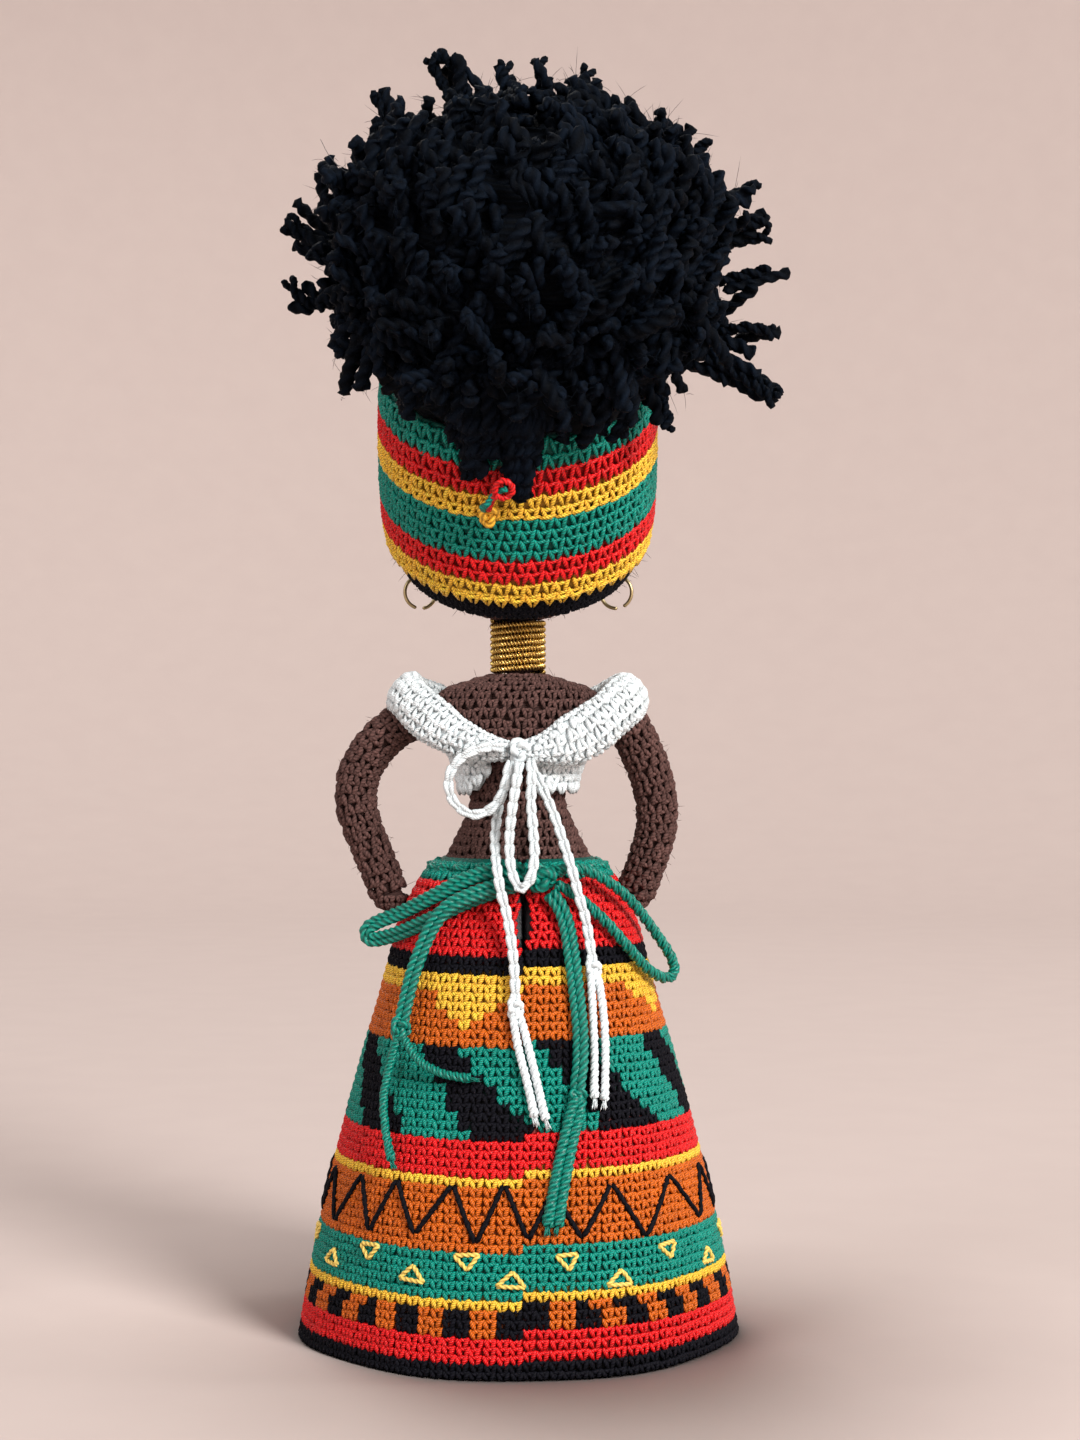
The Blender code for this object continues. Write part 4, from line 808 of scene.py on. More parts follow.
def lock_paths():
    """Strands that leave the pompom's foot at the back and hang over the rim onto the stripes."""
    middle, half, drop, counts = np.array(LOCKS).T
    own = np.repeat(np.arange(len(LOCKS)), counts.astype(int))
    count = len(own)
    lean = rng.normal(0, 0.6, count)
    turn = np.radians(middle[own] + half[own] * lean)
    fall = drop[own] * np.exp(-0.8 * lean**2) * rng.uniform(0.65, 1.05, count)
    layer = rng.uniform(0.0008, 0.0026, count)
    start = BAND_HIGH + np.broadcast_to((0.012, 0.007, 0.0035), (count, 3))
    hang = BAND_HIGH + 0.002 - np.array([0.0, 0.35, 0.7, 1.0]) * (fall + 0.002)[:, None]
    height = np.concatenate([start, hang], 1)
    reach = np.concatenate([
        np.stack([np.full(count, 0.0150), np.full(count, 0.0205), 0.0204 + layer], -1),
        BAND_RADIUS + layer[:, None] * (0.85, 0.9, 1.0, 1.1)], 1)
    swing = turn[:, None] + rng.normal(0, 0.02, (count, 7)) * np.linspace(0, 1, 7)
    rows = leaned(np.stack([reach * np.cos(swing), reach * np.sin(swing), height], -1))
    fine = smooth(np.moveaxis(rows, 0, 1).reshape(7, -1), 3).reshape(-1, count, 3)
    return np.moveaxis(fine, 1, 0)


# Tufts that stick out of the pompom, by where each starts and ends: mm across, back and up on the doll.
TUFTS = (
    ((-6.0, -17, 177.0), (-8.4, -18, 183.6), (-11.7, -18, 186.4)),
    ((-7.4, -16, 177.0), (-11.2, -17, 183.0), (-12.6, -18, 185.6)),
    ((-25.0, -17, 158.4), (-29.0, -18, 159.4), (-33.4, -18, 161.6)),
    ((-24.6, -15, 159.6), (-29.6, -16, 160.8), (-33.0, -17, 163.0)),
    ((24.0, -22, 143.6), (31.0, -24, 139.6), (36.6, -25, 135.4)),
    ((24.6, -20, 144.4), (31.4, -22, 141.2), (37.0, -24, 136.2)),
    ((28.0, -17, 161.0), (32.2, -18, 161.6), (36.2, -18, 162.2)),
    ((28.0, -15, 159.0), (32.6, -16, 159.8), (36.4, -17, 160.4)),
    ((27.4, -17, 164.2), (31.6, -18, 166.2), (34.6, -18, 167.6)),
    ((28.6, -19, 153.4), (32.6, -20, 154.2), (36.0, -20, 154.8)),
    ((28.4, -20, 146.0), (32.6, -22, 146.4), (36.4, -22, 145.6)),
    ((23.0, -16, 170.6), (25.6, -17, 172.4), (27.6, -17, 174.0)),
    ((-1.6, -18, 178.0), (-1.8, -19, 181.6), (-1.6, -19, 184.8)),
    ((3.4, -18, 179.0), (3.4, -19, 182.0), (3.2, -19, 185.2)),
    ((7.8, -17, 178.0), (9.0, -18, 181.4), (10.4, -18, 184.2)),
    ((-17.0, -17, 174.0), (-18.8, -18, 177.4), (-20.4, -18, 180.6)),
    ((-27.4, -19, 149.6), (-30.6, -20, 150.8), (-32.6, -20, 153.6)),
    ((17.6, -23, 137.6), (20.8, -25, 134.6), (21.2, -26, 131.4)),
)
FLYAWAYS = (
    ((6.0, -34, 158), (9.4, -38, 162), (7.4, -39, 166), (9.0, -38, 169)),
    ((8.0, -35, 161), (4.6, -39, 158), (7.4, -40, 155), (12.6, -38, 156)),
    ((-20, -30, 168), (-23.0, -33, 166), (-25.4, -33, 168), (-27.0, -31, 171)),
    ((1.0, -34, 140), (3.4, -38, 137), (7.4, -38, 139), (8.8, -36, 142)),
)
hair_yarn = yarn("hair_yarn", plies=2, rough=0.7, painted_groove_shade=0.6, fibre=0.7, gloss=0.05, relief=0.0005)
core_turns = 2 * math.pi * np.arange(64) / 64
core_along = np.linspace(0.004, outline_along[-1], 30)
core_ripple = 0.03 * np.cos(16 * core_turns) * np.cos(1400 * core_along[:, None])
core_ripple = core_ripple + np.interp(core_along / outline_along[-1], (0, 0.75, 1), (0.76, 0.80, 0.96))[:, None]
core = puff(core_turns[None] + 0 * core_ripple, core_along[:, None] + 0 * core_ripple, core_ripple)
# The pompom's inside is tinted at half the hair's yarn, as painted shade.
placed("hair_inside", skinned(core[None], core[[0, -1]].mean(1)[None], np.multiply(HAIR_TINT, 0.5)), hair_yarn)
outer_paths = strands_over(400, 200, (0.92, 1.02), 0.013, 28)
placed("hair_outer", hair_shape(outer_paths), hair_yarn, ["hair_puff"])
placed("hair_middle", hair_shape(strands_over(400, 200, (0.88, 0.98), 0.013, 28)), hair_yarn)
placed("hair_inner", hair_shape(strands_over(620, 310, (0.82, 0.93), 0.010, 9), sides=5, plies=0), hair_yarn)
placed("hair_lock", hair_shape(lock_paths()), hair_yarn)
tuft_paths = np.stack([even(smooth(np.array(route) / 1000, 12), 40) for route in TUFTS])
tuft_ahead = unit(np.gradient(tuft_paths, axis=1))
tuft_side = unit(np.cross(tuft_ahead, (0, 1, 0)))
tuft_out = np.cross(tuft_ahead, tuft_side)
plies = []
for half in (0, math.pi):
    wind = half + 2 * math.pi * lengths(tuft_paths)[..., None] / 0.0042
    reach = 0.00040 * (1 + 1.2 * np.clip(np.linspace(-4, 1, 40), 0, 1))[:, None]
    ply_paths = tuft_paths + reach * (np.cos(wind) * tuft_side + np.sin(wind) * tuft_out)
    plies.append(sweep(ply_paths, (0, 1, 0), 0.00052, 0.00052, 7, HAIR_TINT, 3, 0.12, 0.0018))
t = np.linspace(0, 1, 20)[:, None]
beside = np.repeat(tuft_paths[:, np.linspace(0, 39, 20).astype(int)], 2, 0)
beside = beside[:, :1] + (beside - beside[:, :1]) * rng.uniform(0.66, 0.92, (len(beside), 1, 1))
beside += rng.normal(0, 0.0016, (len(beside), 1, 3)) * (1 - t) + rng.normal(0, 0.0015, (len(beside), 1, 3)) * t
placed("hair_tufts", joined(*plies, hair_shape(beside)), hair_yarn)
fly_paths = np.stack([even(smooth(np.array(route) / 1000, 12), 40) for route in FLYAWAYS])
fly_shape = sweep(fly_paths, (0, 1, 0), 0.00004, 0.00004, 5, (0.10, 0.10, 0.11))
fuzz_starts = outer_paths[:, 6:].reshape(-1, 3)
fuzz_ways = unit(fuzz_starts - leaned(hair_middle))
# The loose fibres are tinted lighter than the hair as painted sheen.
hair_fuzz = fuzz(fuzz_starts, fuzz_ways, 3600, 0.0022, (0.008, 0.012, 0.018), rng)
placed("hair_fibres", joined(fly_shape, hair_fuzz), hair_yarn)

# Earrings: open jump rings of antique brass, each hanging in a yarn stitch on the side of the head.
EAR_SHARE = (0.758, 0.320, -0.568)
RING_RADIUS = 0.00245
RING_WIRE = 0.00028
RING_SEAT = 0.0008
RING_TURN = math.radians(18)
RING_STARTS = {"left": math.radians(-84), "right": math.radians(-64)}
RING_ARC = math.radians(340)
brass, brass_shader, wires = finish("antique_brass", Metallic=1.0)
place = wires.node("TexCoord", {}, {}, 3)
tarnish = wires.node("TexNoise", {}, {"Vector": place, "Scale": 900.0, "Detail": 4.0})
lead(brass_shader, {
    "Base Color": tarnish.mix((0.16, 0.115, 0.05, 1), (0.66, 0.54, 0.30, 1)),
    "Roughness": 0.22 + 0.25 * tarnish,
    "Normal": wires.node("Bump", {}, {"Height": tarnish, "Strength": 0.15, "Distance": 0.0001}),
})
for name, side in (("left", -1), ("right", 1)):
    out = unit(np.array([side * EAR_SHARE[0], EAR_SHARE[1], EAR_SHARE[2]]))
    top = np.array([0, 0, HEAD_HEIGHT]) + (HEAD_RADIUS + RING_SEAT + RING_WIRE) * out
    flat = np.array([math.cos(RING_TURN), side * -math.sin(RING_TURN), 0])
    angle = RING_STARTS[name] + np.linspace(0, RING_ARC, 72)
    ring = top + np.outer(RING_RADIUS * np.cos(angle), flat)
    ring[:, 2] += RING_RADIUS * (np.sin(angle) - 1)
    middle = top - (0, 0, RING_RADIUS)
    placed(f"ring_{name}", sweep(ring[None], unit(ring - middle)[None], RING_WIRE, RING_WIRE, 12), brass,
           [f"earring_{name}"], f"earring_{name}")
    across = unit(out - flat * out.dot(flat))
    over = np.cross(flat, across)
    angle = np.radians(np.linspace(2, 178, 22))
    reach = RING_WIRE + 0.0003 + 0.00035
    arch = top + np.outer(reach * np.sin(angle), across) + np.outer(reach * np.cos(angle), over)
    placed(f"ring_stitch_{name}", sweep(arch[None], flat, 0.00036, 0.00036, 8, BROWN, 2, 0.2, 0.0014),
           brown_wool, [f"ear_stitch_{name}"])

# Arms: crocheted tubes, stuffed, each over a wire that enters the shoulder and keeps the bend, hand on hip.
SHOULDER_HEIGHT = 0.0913
ARM_SEAT = 0.0126
ARM_RADIUS = 0.0026
WRIST_RADIUS = 0.0024
ARM_REACH = {"left": (0.0118, 0.0012, -0.0266), "right": (0.0083, 0.0028, -0.0266)}
ARM_SHARES = {
    "left": (
        (0, 0, 0), (0.24, 0, 0.004), (0.51, 0.17, 0.064), (0.76, 0.42, 0.170), (0.95, 0.67, 0.312),
        (1, 0.83, 0.451), (0.96, 0.92, 0.564), (0.84, 1, 0.707), (0.70, 1, 0.857), (0.57, 0.92, 1),
    ),
    "right": (
        (0, 0, 0), (0.29, 0, 0.004), (0.53, 0.14, 0.075), (0.72, 0.32, 0.196), (0.92, 0.50, 0.358),
        (1, 0.64, 0.521), (0.98, 0.75, 0.649), (0.86, 0.86, 0.785), (0.72, 0.93, 0.906), (0.60, 1, 1),
    ),
}


def limb(route, radii):
    """A bent round limb: its path's place, plus its radius round the path from a side close to the front."""
    along = lengths(route)
    ahead = unit(np.gradient(route, axis=0))
    level = unit(np.array([0, 1.0, 0]) - ahead * ahead[:, 1:2])
    cross = np.cross(ahead, level)

    def place(turn, at):
        at, turn = np.broadcast_arrays(at, turn)
        read = [np.stack([np.interp(at, along, part[:, k]) for k in range(3)], -1) for part in (route, level, cross)]
        reach = np.interp(at, along, radii)[..., None]
        round_it = np.cos(turn)[..., None] * read[1] + np.sin(turn)[..., None] * read[2]
        return read[0] + reach * round_it

    return place, along[-1]


steel, steel_shader, wires = finish("steel_wire", Metallic=1.0)
place = wires.node("TexCoord", {}, {}, 3)
drawn_marks = wires.node("TexNoise", {}, {"Vector": place, "Scale": 2400.0, "Detail": 2.0})
lead(steel_shader, {
    "Base Color": drawn_marks.mix((0.34, 0.34, 0.36, 1), (0.56, 0.56, 0.58, 1)), "Roughness": 0.3 + 0.2 * drawn_marks
})
rng = np.random.default_rng(16)
for name, side in (("left", -1), ("right", 1)):
    route = smooth(np.array(ARM_SHARES[name]) * ARM_REACH[name] * (side, 1, 1), 8)
    route = route + (side * ARM_SEAT, 0, SHOULDER_HEIGHT)
    share = np.linspace(0, 1, len(route))
    radii = ARM_RADIUS + (WRIST_RADIUS - ARM_RADIUS) * share
    radii = radii * (1 + 0.06 * np.sin(math.pi * np.minimum(share / 0.8, 1))) - 0.0002
    radii[:4] *= (0.86, 0.90, 0.94, 0.98)
    arm_place, arm_length = limb(route, radii)
    tip = arm_place(np.linspace(0, 6, 12), arm_length).mean(0)
    end = route[-1] + unit(route[-1] - route[-2]) * 0.0004
    hand_place = ball_place(end, (0.0021, 0.0021, 0.0017))
    arm_table = spots(arm_place, np.arange(0.0006, arm_length, 0.00142), 0.00166, drift=0.45)
    # The loose fibres are tinted lighter than the wool as painted sheen, and the ground under the stitches of arm and
    # hand darker as painted shade.
    arm = joined(
        crochet(arm_table, BROWN, 0.00036, rng, plump=(0.245, 0.26), loose=0.06),
        fuzz(arm_table["centre"], arm_table["out"], 420, 0.0010, np.multiply(BROWN, 1.3), rng),
        lining(arm_place, np.linspace(0, arm_length, 60), 24, 0.0002, np.multiply(BROWN, 0.5)),
        crochet(spots(hand_place, (0.35, 0.95, 1.5), 0.0015), BROWN, 0.00025, rng, plump=(0.27, 0.27)),
        lining(hand_place, np.linspace(0.1, 3.0, 12), 20, 0.0001, np.multiply(BROWN, 0.6)),
    )
    made = placed(f"arm_{name}_work", arm, brown_wool, [f"arm_{name}"], f"arm_{name}")
    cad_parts[f"arm_wire_{name}"].data.materials.clear()
    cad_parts[f"arm_wire_{name}"].data.materials.append(steel)

# Legs: crocheted in the body's wool and stuffed, with small feet, out of sight under the skirt.
ANKLE_RADIUS = 0.0028
THIGH_RADIUS = 0.0051
FOOT_HALF_LENGTH = 0.0048
FOOT_SPREAD = 0.0044
LEG_SPREAD = 0.0057
LEG_TOP = 0.0590
LEG_ROWS = (
    (0.0004, 0.94 * ANKLE_RADIUS, 0.93 * FOOT_HALF_LENGTH, 0.42 * FOOT_HALF_LENGTH),
    (0.0016, 1.04 * ANKLE_RADIUS, FOOT_HALF_LENGTH, 0.44 * FOOT_HALF_LENGTH),
    (0.0035, ANKLE_RADIUS, 0.84 * FOOT_HALF_LENGTH, 0.28 * FOOT_HALF_LENGTH),
    (0.0062, 0.96 * ANKLE_RADIUS, 1.04 * ANKLE_RADIUS, 0),
    (0.0201, 1.25 * ANKLE_RADIUS, 1.28 * ANKLE_RADIUS, 0),
    (0.0325, 1.15 * ANKLE_RADIUS, 1.18 * ANKLE_RADIUS, 0),
    (0.0472, 0.93 * THIGH_RADIUS, 0.96 * THIGH_RADIUS, 0),
    (LEG_TOP, THIGH_RADIUS, 1.05 * THIGH_RADIUS, 0),
)


def leg_surface(side):
    """A leg by turn and height: oval rounds that lean outwards as they rise, over a foot that points ahead."""
    rows = smooth(LEG_ROWS, 6)

    def place(turn, height):
        wide, deep, shift = (np.interp(height, rows[:, 0], rows[:, k]) for k in (1, 2, 3))
        lean = side * (FOOT_SPREAD + (LEG_SPREAD - FOOT_SPREAD) * height / LEG_TOP)
        return np.stack(np.broadcast_arrays(
            lean + (wide - 0.0002) * np.cos(turn), shift + (deep - 0.0002) * np.sin(turn), height), -1)

    return place


rng = np.random.default_rng(17)
for name, side in (("left", -1), ("right", 1)):
    leg_place = leg_surface(side)
    # The ground under the stitches is tinted darker as painted shade.
    leg = joined(
        crochet(spots(leg_place, np.arange(0.0011, LEG_TOP, 0.00165), 0.00178), BROWN, 0.00028, rng,
                plump=(0.25, 0.24), strands=STITCH_LEGS),
        lining(leg_place, np.linspace(0.0004, LEG_TOP, 40), 24, 0.0002, np.multiply(BROWN, 0.5)),
    )
    leg[0][:, 2] = np.maximum(leg[0][:, 2], 0.0001)
    made = placed(f"leg_{name}_work", leg, brown_wool, [f"leg_{name}"])

# White top: a band worked round the chest and open at the back, and a band folded double round the
# shoulders. Mercerised cotton, so it has a soft shine.
WHITE = (0.62, 0.68, 0.70)
BODICE_LOW = 0.0805
BODICE_HIGH = 0.0882
BODICE_OPEN_RIGHT = (math.radians(12), math.radians(26))
BODICE_OPEN_LEFT = (math.radians(22), math.radians(46))
white_cotton = yarn("white_cotton", plies=3, rough=0.42, painted_groove_shade=0.20, fibre=0.08, gloss=0.45)
torso_fine = smooth(TORSO_PROFILE, 4)


def bodice_place(share, height, grow=0.0013):
    """The chest band: the torso's oval at each height, a little larger, from its right edge to its left one.

    Each edge runs from its first opening at the top to its second at the foot, rounding off the corner.
    """
    wide, deep = (np.interp(height, torso_fine[:, 0], torso_fine[:, k]) for k in (1, 2))
    drop = ((BODICE_HIGH - height) / (BODICE_HIGH - BODICE_LOW)) ** 2.2
    right, left = (near + (far - near) * drop for near, far in (BODICE_OPEN_RIGHT, BODICE_OPEN_LEFT))
    turn = -math.pi / 2 + right + share * (2 * math.pi - right - left)
    grow = grow + 0.0008 * drop
    return np.stack(np.broadcast_arrays((wide + grow) * np.cos(turn), (deep + grow) * np.sin(turn), height), -1)


rng = np.random.default_rng(18)
bodice_rows = np.linspace(BODICE_LOW + 0.0006, BODICE_HIGH - 0.0006, 6)
bodice_turns = np.linspace(0, 1, 72)
bodice_levels = np.linspace(BODICE_LOW, BODICE_HIGH, 8)
bodice_outer = bodice_place(bodice_turns[:, None], bodice_levels[None], 0.0013)
bodice_inner = bodice_place(bodice_turns[:, None], bodice_levels[None], 0.0005)
bodice_wall = np.concatenate([bodice_outer, bodice_inner[:, ::-1]], 1)
# The ground under the stitches is tinted a little darker as painted shade.
bodice = joined(
    crochet(spots(bodice_place, bodice_rows, 0.00165, arc=(0, 1), drift=0.47), WHITE, 0.00026, rng,
            plump=(0.27, 0.24), loose=0.06),
    skinned(bodice_wall[None], bodice_wall[[0, -1]].mean(1)[None], np.multiply(WHITE, 0.95)),
)
placed("bodice_work", bodice, white_cotton, ["bodice"])

COLLAR_HALF_SPAN = 0.0170
COLLAR_END = 0.0011
COLLAR_RISE = 0.0037


def collar_frames(turns):
    """The folded band's middle line and, at each place, its directions across its width and its thickness."""
    back = np.cos(turns) > 0
    depth = np.where(back, 0.0094, 0.0100)
    low = SHOULDER_HEIGHT - np.where(back, 0.0049, 0.0028)
    climb = np.abs(np.sin(turns)) ** np.where(back, 2.2, 1.5)
    route = np.stack([-COLLAR_HALF_SPAN * np.sin(turns), -depth * np.cos(turns),
                      low + (SHOULDER_HEIGHT + COLLAR_RISE - low) * climb], -1)
    ahead = unit(np.gradient(route, axis=0))
    aside = np.sin(turns) ** 2
    flare = math.radians(35) * aside
    out = np.stack([-np.sin(turns), -np.cos(turns), 0 * turns], -1)
    wide = np.cos(flare)[:, None] * np.array([0, 0, 1.0]) - np.sin(flare)[:, None] * out
    wide = unit(wide - ahead * np.sum(wide * ahead, -1, keepdims=True))
    half = np.where(back, np.where(turns > math.pi, 0.0035, 0.0026), 0.0032)
    half = half + (0.0027 - half) * aside
    end = np.minimum(np.arange(len(turns)), np.arange(len(turns))[::-1]) / len(turns) * 32
    draw = np.interp(end, (0, 1, 2, 3.5), (0.30, 0.55, 0.84, 1))
    return route, wide * (half * draw)[:, None], np.cross(ahead, wide) * (0.0015 * (0.6 + 0.4 * draw))[:, None]


collar_start = math.asin(COLLAR_END / COLLAR_HALF_SPAN)
collar_turns = np.linspace(collar_start, 2 * math.pi - collar_start, 161)
collar_line, collar_wide, collar_thin = collar_frames(collar_turns)


def collar_place(along, round_it, shrink=1.06):
    """The folded band's surface, by its place along the band and its turn round the fold."""
    along, round_it = np.broadcast_arrays(along, round_it)
    read = [np.stack([np.interp(along, collar_turns, part[:, k]) for k in range(3)], -1)
            for part in (collar_line, collar_wide, collar_thin)]
    ruffle = 1 + 0.05 * np.sin(9 * along)
    return (read[0] + shrink * (np.cos(round_it) * ruffle)[..., None] * read[1]
            + shrink * np.sin(round_it)[..., None] * read[2])


rng = np.random.default_rng(19)
collar_rounds = 2 * math.pi * (np.arange(11) + 0.5) / 11
collar_table = spots(collar_place, -collar_rounds, 0.00160, arc=(collar_turns[0], collar_turns[-1]), drift=0.47)
collar_ring = 2 * math.pi * np.arange(20) / 20
collar_grid = collar_place(collar_turns[::2, None], collar_ring[None], 1.03)
# The ground under the stitches is tinted a little darker as painted shade.
collar = joined(
    crochet(collar_table, WHITE, 0.00028, rng, plump=(0.25, 0.23), loose=0.05),
    skinned(collar_grid[None], collar_grid[[0, -1]].mean(1)[None], np.multiply(WHITE, 0.95)),
)
placed("collar_work", collar, white_cotton, ["collar"])

# Cords of the top: chains of crochet tied in a bow at the back, each tail ending in a knot with two strands
# of yarn below it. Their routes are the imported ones.
CHAIN_WIDTH = 0.0017
THREAD = 0.0009
WHITE_KNOT = (0.0003, -0.0108, 0.0864)
WHITE_LOOP_ROUND = (
    (-0.0018, -0.0113, 0.0868), (-0.0040, -0.0119, 0.0870), (-0.0067, -0.0123, 0.0863),
    (-0.0090, -0.0124, 0.0845), (-0.0100, -0.0124, 0.0820), (-0.0092, -0.0124, 0.0790),
    (-0.0066, -0.0125, 0.0772), (-0.0038, -0.0126, 0.0780), (-0.0021, -0.0127, 0.0804),
    (-0.0014, -0.0126, 0.0832), (-0.0010, -0.0121, 0.0848),
)
WHITE_LOOP_LONG = (
    (0.0004, -0.0130, 0.0849), (-0.0001, -0.0142, 0.0820), (-0.0007, -0.0149, 0.0780),
    (-0.0011, -0.0156, 0.0735), (-0.0008, -0.0172, 0.0695), (0.0005, -0.0182, 0.0668),
    (0.0019, -0.0180, 0.0682), (0.0025, -0.0172, 0.0712), (0.0023, -0.0158, 0.0750),
    (0.0020, -0.0149, 0.0790), (0.0021, -0.0142, 0.0825), (0.0020, -0.0129, 0.0852),
)
WHITE_TAIL_LEFT = (
    (-0.0004, -0.0104, 0.0844), (-0.0018, -0.0104, 0.0815), (-0.0028, -0.0109, 0.0778),
    (-0.0032, -0.0128, 0.0738), (-0.0030, -0.0154, 0.0706), (-0.0027, -0.0174, 0.0686),
    (-0.0023, -0.0181, 0.0664), (-0.0016, -0.0185, 0.0638), (-0.0010, -0.0191, 0.0608),
    (-0.0005, -0.0199, 0.0573), (-0.0003, -0.0206, 0.0546), (-0.0002, -0.0213, 0.0520),
)
WHITE_TAIL_RIGHT = (
    (0.0017, -0.0109, 0.0849), (0.0034, -0.0118, 0.0815), (0.0052, -0.0130, 0.0775),
    (0.0066, -0.0143, 0.0735), (0.0078, -0.0156, 0.0697), (0.0088, -0.0166, 0.0660),
    (0.0098, -0.0171, 0.0625), (0.0104, -0.0174, 0.0592), (0.0107, -0.0179, 0.0572),
)
WHITE_ENDS = {
    "white_left": (WHITE_TAIL_LEFT, (-0.0002, -0.0217, 0.0501),
                   ((-0.0004, -0.0222, 0.0484), (0.0003, -0.0234, 0.0445), (0.0015, -0.0246, 0.0400),
                    (0.0026, -0.0257, 0.0352)),
                   ((0.0006, -0.0220, 0.0486), (0.0017, -0.0233, 0.0448), (0.0029, -0.0246, 0.0400),
                    (0.0041, -0.0257, 0.0348))),
    "white_right": (WHITE_TAIL_RIGHT, (0.0109, -0.0182, 0.0553),
                    ((0.0106, -0.0189, 0.0538), (0.0108, -0.0200, 0.0495), (0.0110, -0.0215, 0.0440),
                     (0.0109, -0.0234, 0.0375)),
                    ((0.0116, -0.0186, 0.0540), (0.0123, -0.0195, 0.0495), (0.0126, -0.0209, 0.0440),
                     (0.0124, -0.0228, 0.0371))),
}


def chain(route, width, tint, rng, outward=(0, -1, 0)):
    """A cord of chain stitches: link after link, two plump strands that meet in the next, over a thin core."""
    path = smooth(route, 12)
    length = lengths(path)[-1]
    count = max(4, int(round(length / (1.25 * width))))
    line = even(path, 6 * count + 1)
    ahead = unit(np.gradient(line, axis=0))
    side = unit(np.cross(np.broadcast_to(outward, line.shape), ahead))
    out = np.cross(ahead, side)
    # The core is tinted darker than the links as painted shade between them.
    shapes = [sweep(even(path, 6 * count)[None], outward, 0.30 * width, 0.28 * width, 8, np.multiply(tint, 0.85))]
    link = 6 * np.arange(count)[:, None]
    shares = np.array([0, 0.18, 0.5, 0.82, 1])
    for sign, depth in ((-1, 1), (1, 1), (-0.15, -1)):
        at = np.clip(link + np.round(shares * 8.4).astype(int) - 1, 0, len(line) - 1)
        spread = sign * width * (0.30 - 0.17 * shares)
        bow = depth * width * 0.24 * np.sin(math.pi * (0.12 + 0.76 * shares))
        paths = line[at] + spread[:, None] * side[at] + bow[:, None] * out[at]
        swell = np.array([1, 0.85, 1, 0.75, 1]) * (1 + rng.normal(0, 0.05, (count, 1)))
        shade = np.array(tint) * (1 + rng.normal(0, 0.03, (count, 1)))
        shapes.append(sweep(paths, out[at], 0.235 * width * swell, 0.25 * width * swell, 6, shade, pitch=0.0012))
    return joined(*shapes)


def strand_bundle(path, outward, reach, count, thickness, twist, tint, rng, flare=0.0, plies=3, sides=10):
    """Twisted strands along one path: each keeps its own turn about it, and the last part spreads by flare."""
    ahead = unit(np.gradient(path, axis=0))
    side = unit(np.cross(np.broadcast_to(outward, path.shape), ahead))
    out = np.cross(ahead, side)
    along = lengths(path)
    share = along / along[-1]
    shapes = []
    for number in range(count):
        angle = 2 * math.pi * (number / count + along / twist)
        spread = (reach * (1 + flare * np.clip((share - 0.75) / 0.25, 0, 1) ** 2))[:, None]
        line = path + spread * (np.cos(angle)[:, None] * side + np.sin(angle)[:, None] * out)
        shade = np.array(tint) * (1 + rng.normal(0, 0.05))
        shapes.append(sweep(line[None], out[None], thickness, thickness, sides, shade, plies, 0.17, 5.6 * thickness))
    return joined(*shapes)


def brush(path, tint, rng, count=16, reach=0.0016):
    """The frayed end of a strand: fine fibres that go on from its last point and spread out."""
    ahead = unit(path[-1] - path[-4])
    way = unit(ahead + rng.normal(0, 0.22, (count, 3)))
    far = path[-1] + way * reach * rng.uniform(0.5, 1, (count, 1))
    near = path[-1] - ahead * 0.0006 + rng.normal(0, 0.00016, (count, 3))
    share = np.linspace(0, 1, 5)[:, None]
    return sweep(near[:, None] * (1 - share) + far[:, None] * share, (0.3, 1, 0.1), 0.00009, 0.00009, 5, tint)


def declared(path):
    """The length of a cord's path, moved to the doll's axis: worked out and not kept."""
    path = np.asarray(path) + AXIS
    float(lengths(path)[-1])


rng = np.random.default_rng(20)
placed("white_tie", knot_shape(WHITE_KNOT, (0.0014, 0.0014, 0.0019), 0.00056, WHITE), white_cotton,
       ["white_knot"])
white_loops = joined(chain(WHITE_LOOP_ROUND, CHAIN_WIDTH, WHITE, rng), chain(WHITE_LOOP_LONG, CHAIN_WIDTH, WHITE, rng))
made = placed("white_bow", white_loops, white_cotton, ["white_loop_round", "white_loop_long"])
bow_line = np.concatenate([smooth(WHITE_LOOP_ROUND, 12), smooth(WHITE_LOOP_LONG, 12)])
declared(even(bow_line, 70))


def tail(name, ends, worked, knot_radii, thick, tint, look, rng):
    """A tail of the bow: its worked length, its end knot and one strand in one piece; the other strand goes with it."""
    route, knot, strand_a, strand_b = ends
    colour, side = name.split("_")
    cord, thread = f"{colour}_tail_{side}", f"{colour}_thread_{side}"
    path_a, path_b = (even(smooth((knot,) + line, 12), 44) for line in (strand_a, strand_b))
    main = joined(
        worked(route + (knot,), tint, rng),
        knot_shape(knot, knot_radii, 0.00048, tint),
        strand_bundle(path_a, (0, -1, 0), 0.9 * thick, 3, thick, 9 * thick, tint, rng, 0.5), brush(path_a, tint, rng),
    )
    loose_strand = strand_bundle(path_b, (0, -1, 0), 0.9 * thick, 3, thick, 9 * thick, tint, rng, 0.5)
    other = placed(f"{name}_strand", joined(loose_strand, brush(path_b, tint, rng)), look, [f"{thread}_b"])
    made = placed(f"{name}_tail", main, look, [cord, f"{cord}_knot", f"{thread}_a"])
    line = np.concatenate([smooth(route, 12), path_a])
    declared(even(line, 60))


for name, ends in WHITE_ENDS.items():
    tail(name, ends, lambda route, tint, rng: chain(route, CHAIN_WIDTH, tint, rng), (0.0010, 0.0010, 0.0017),
         0.00033, WHITE, white_cotton, rng)

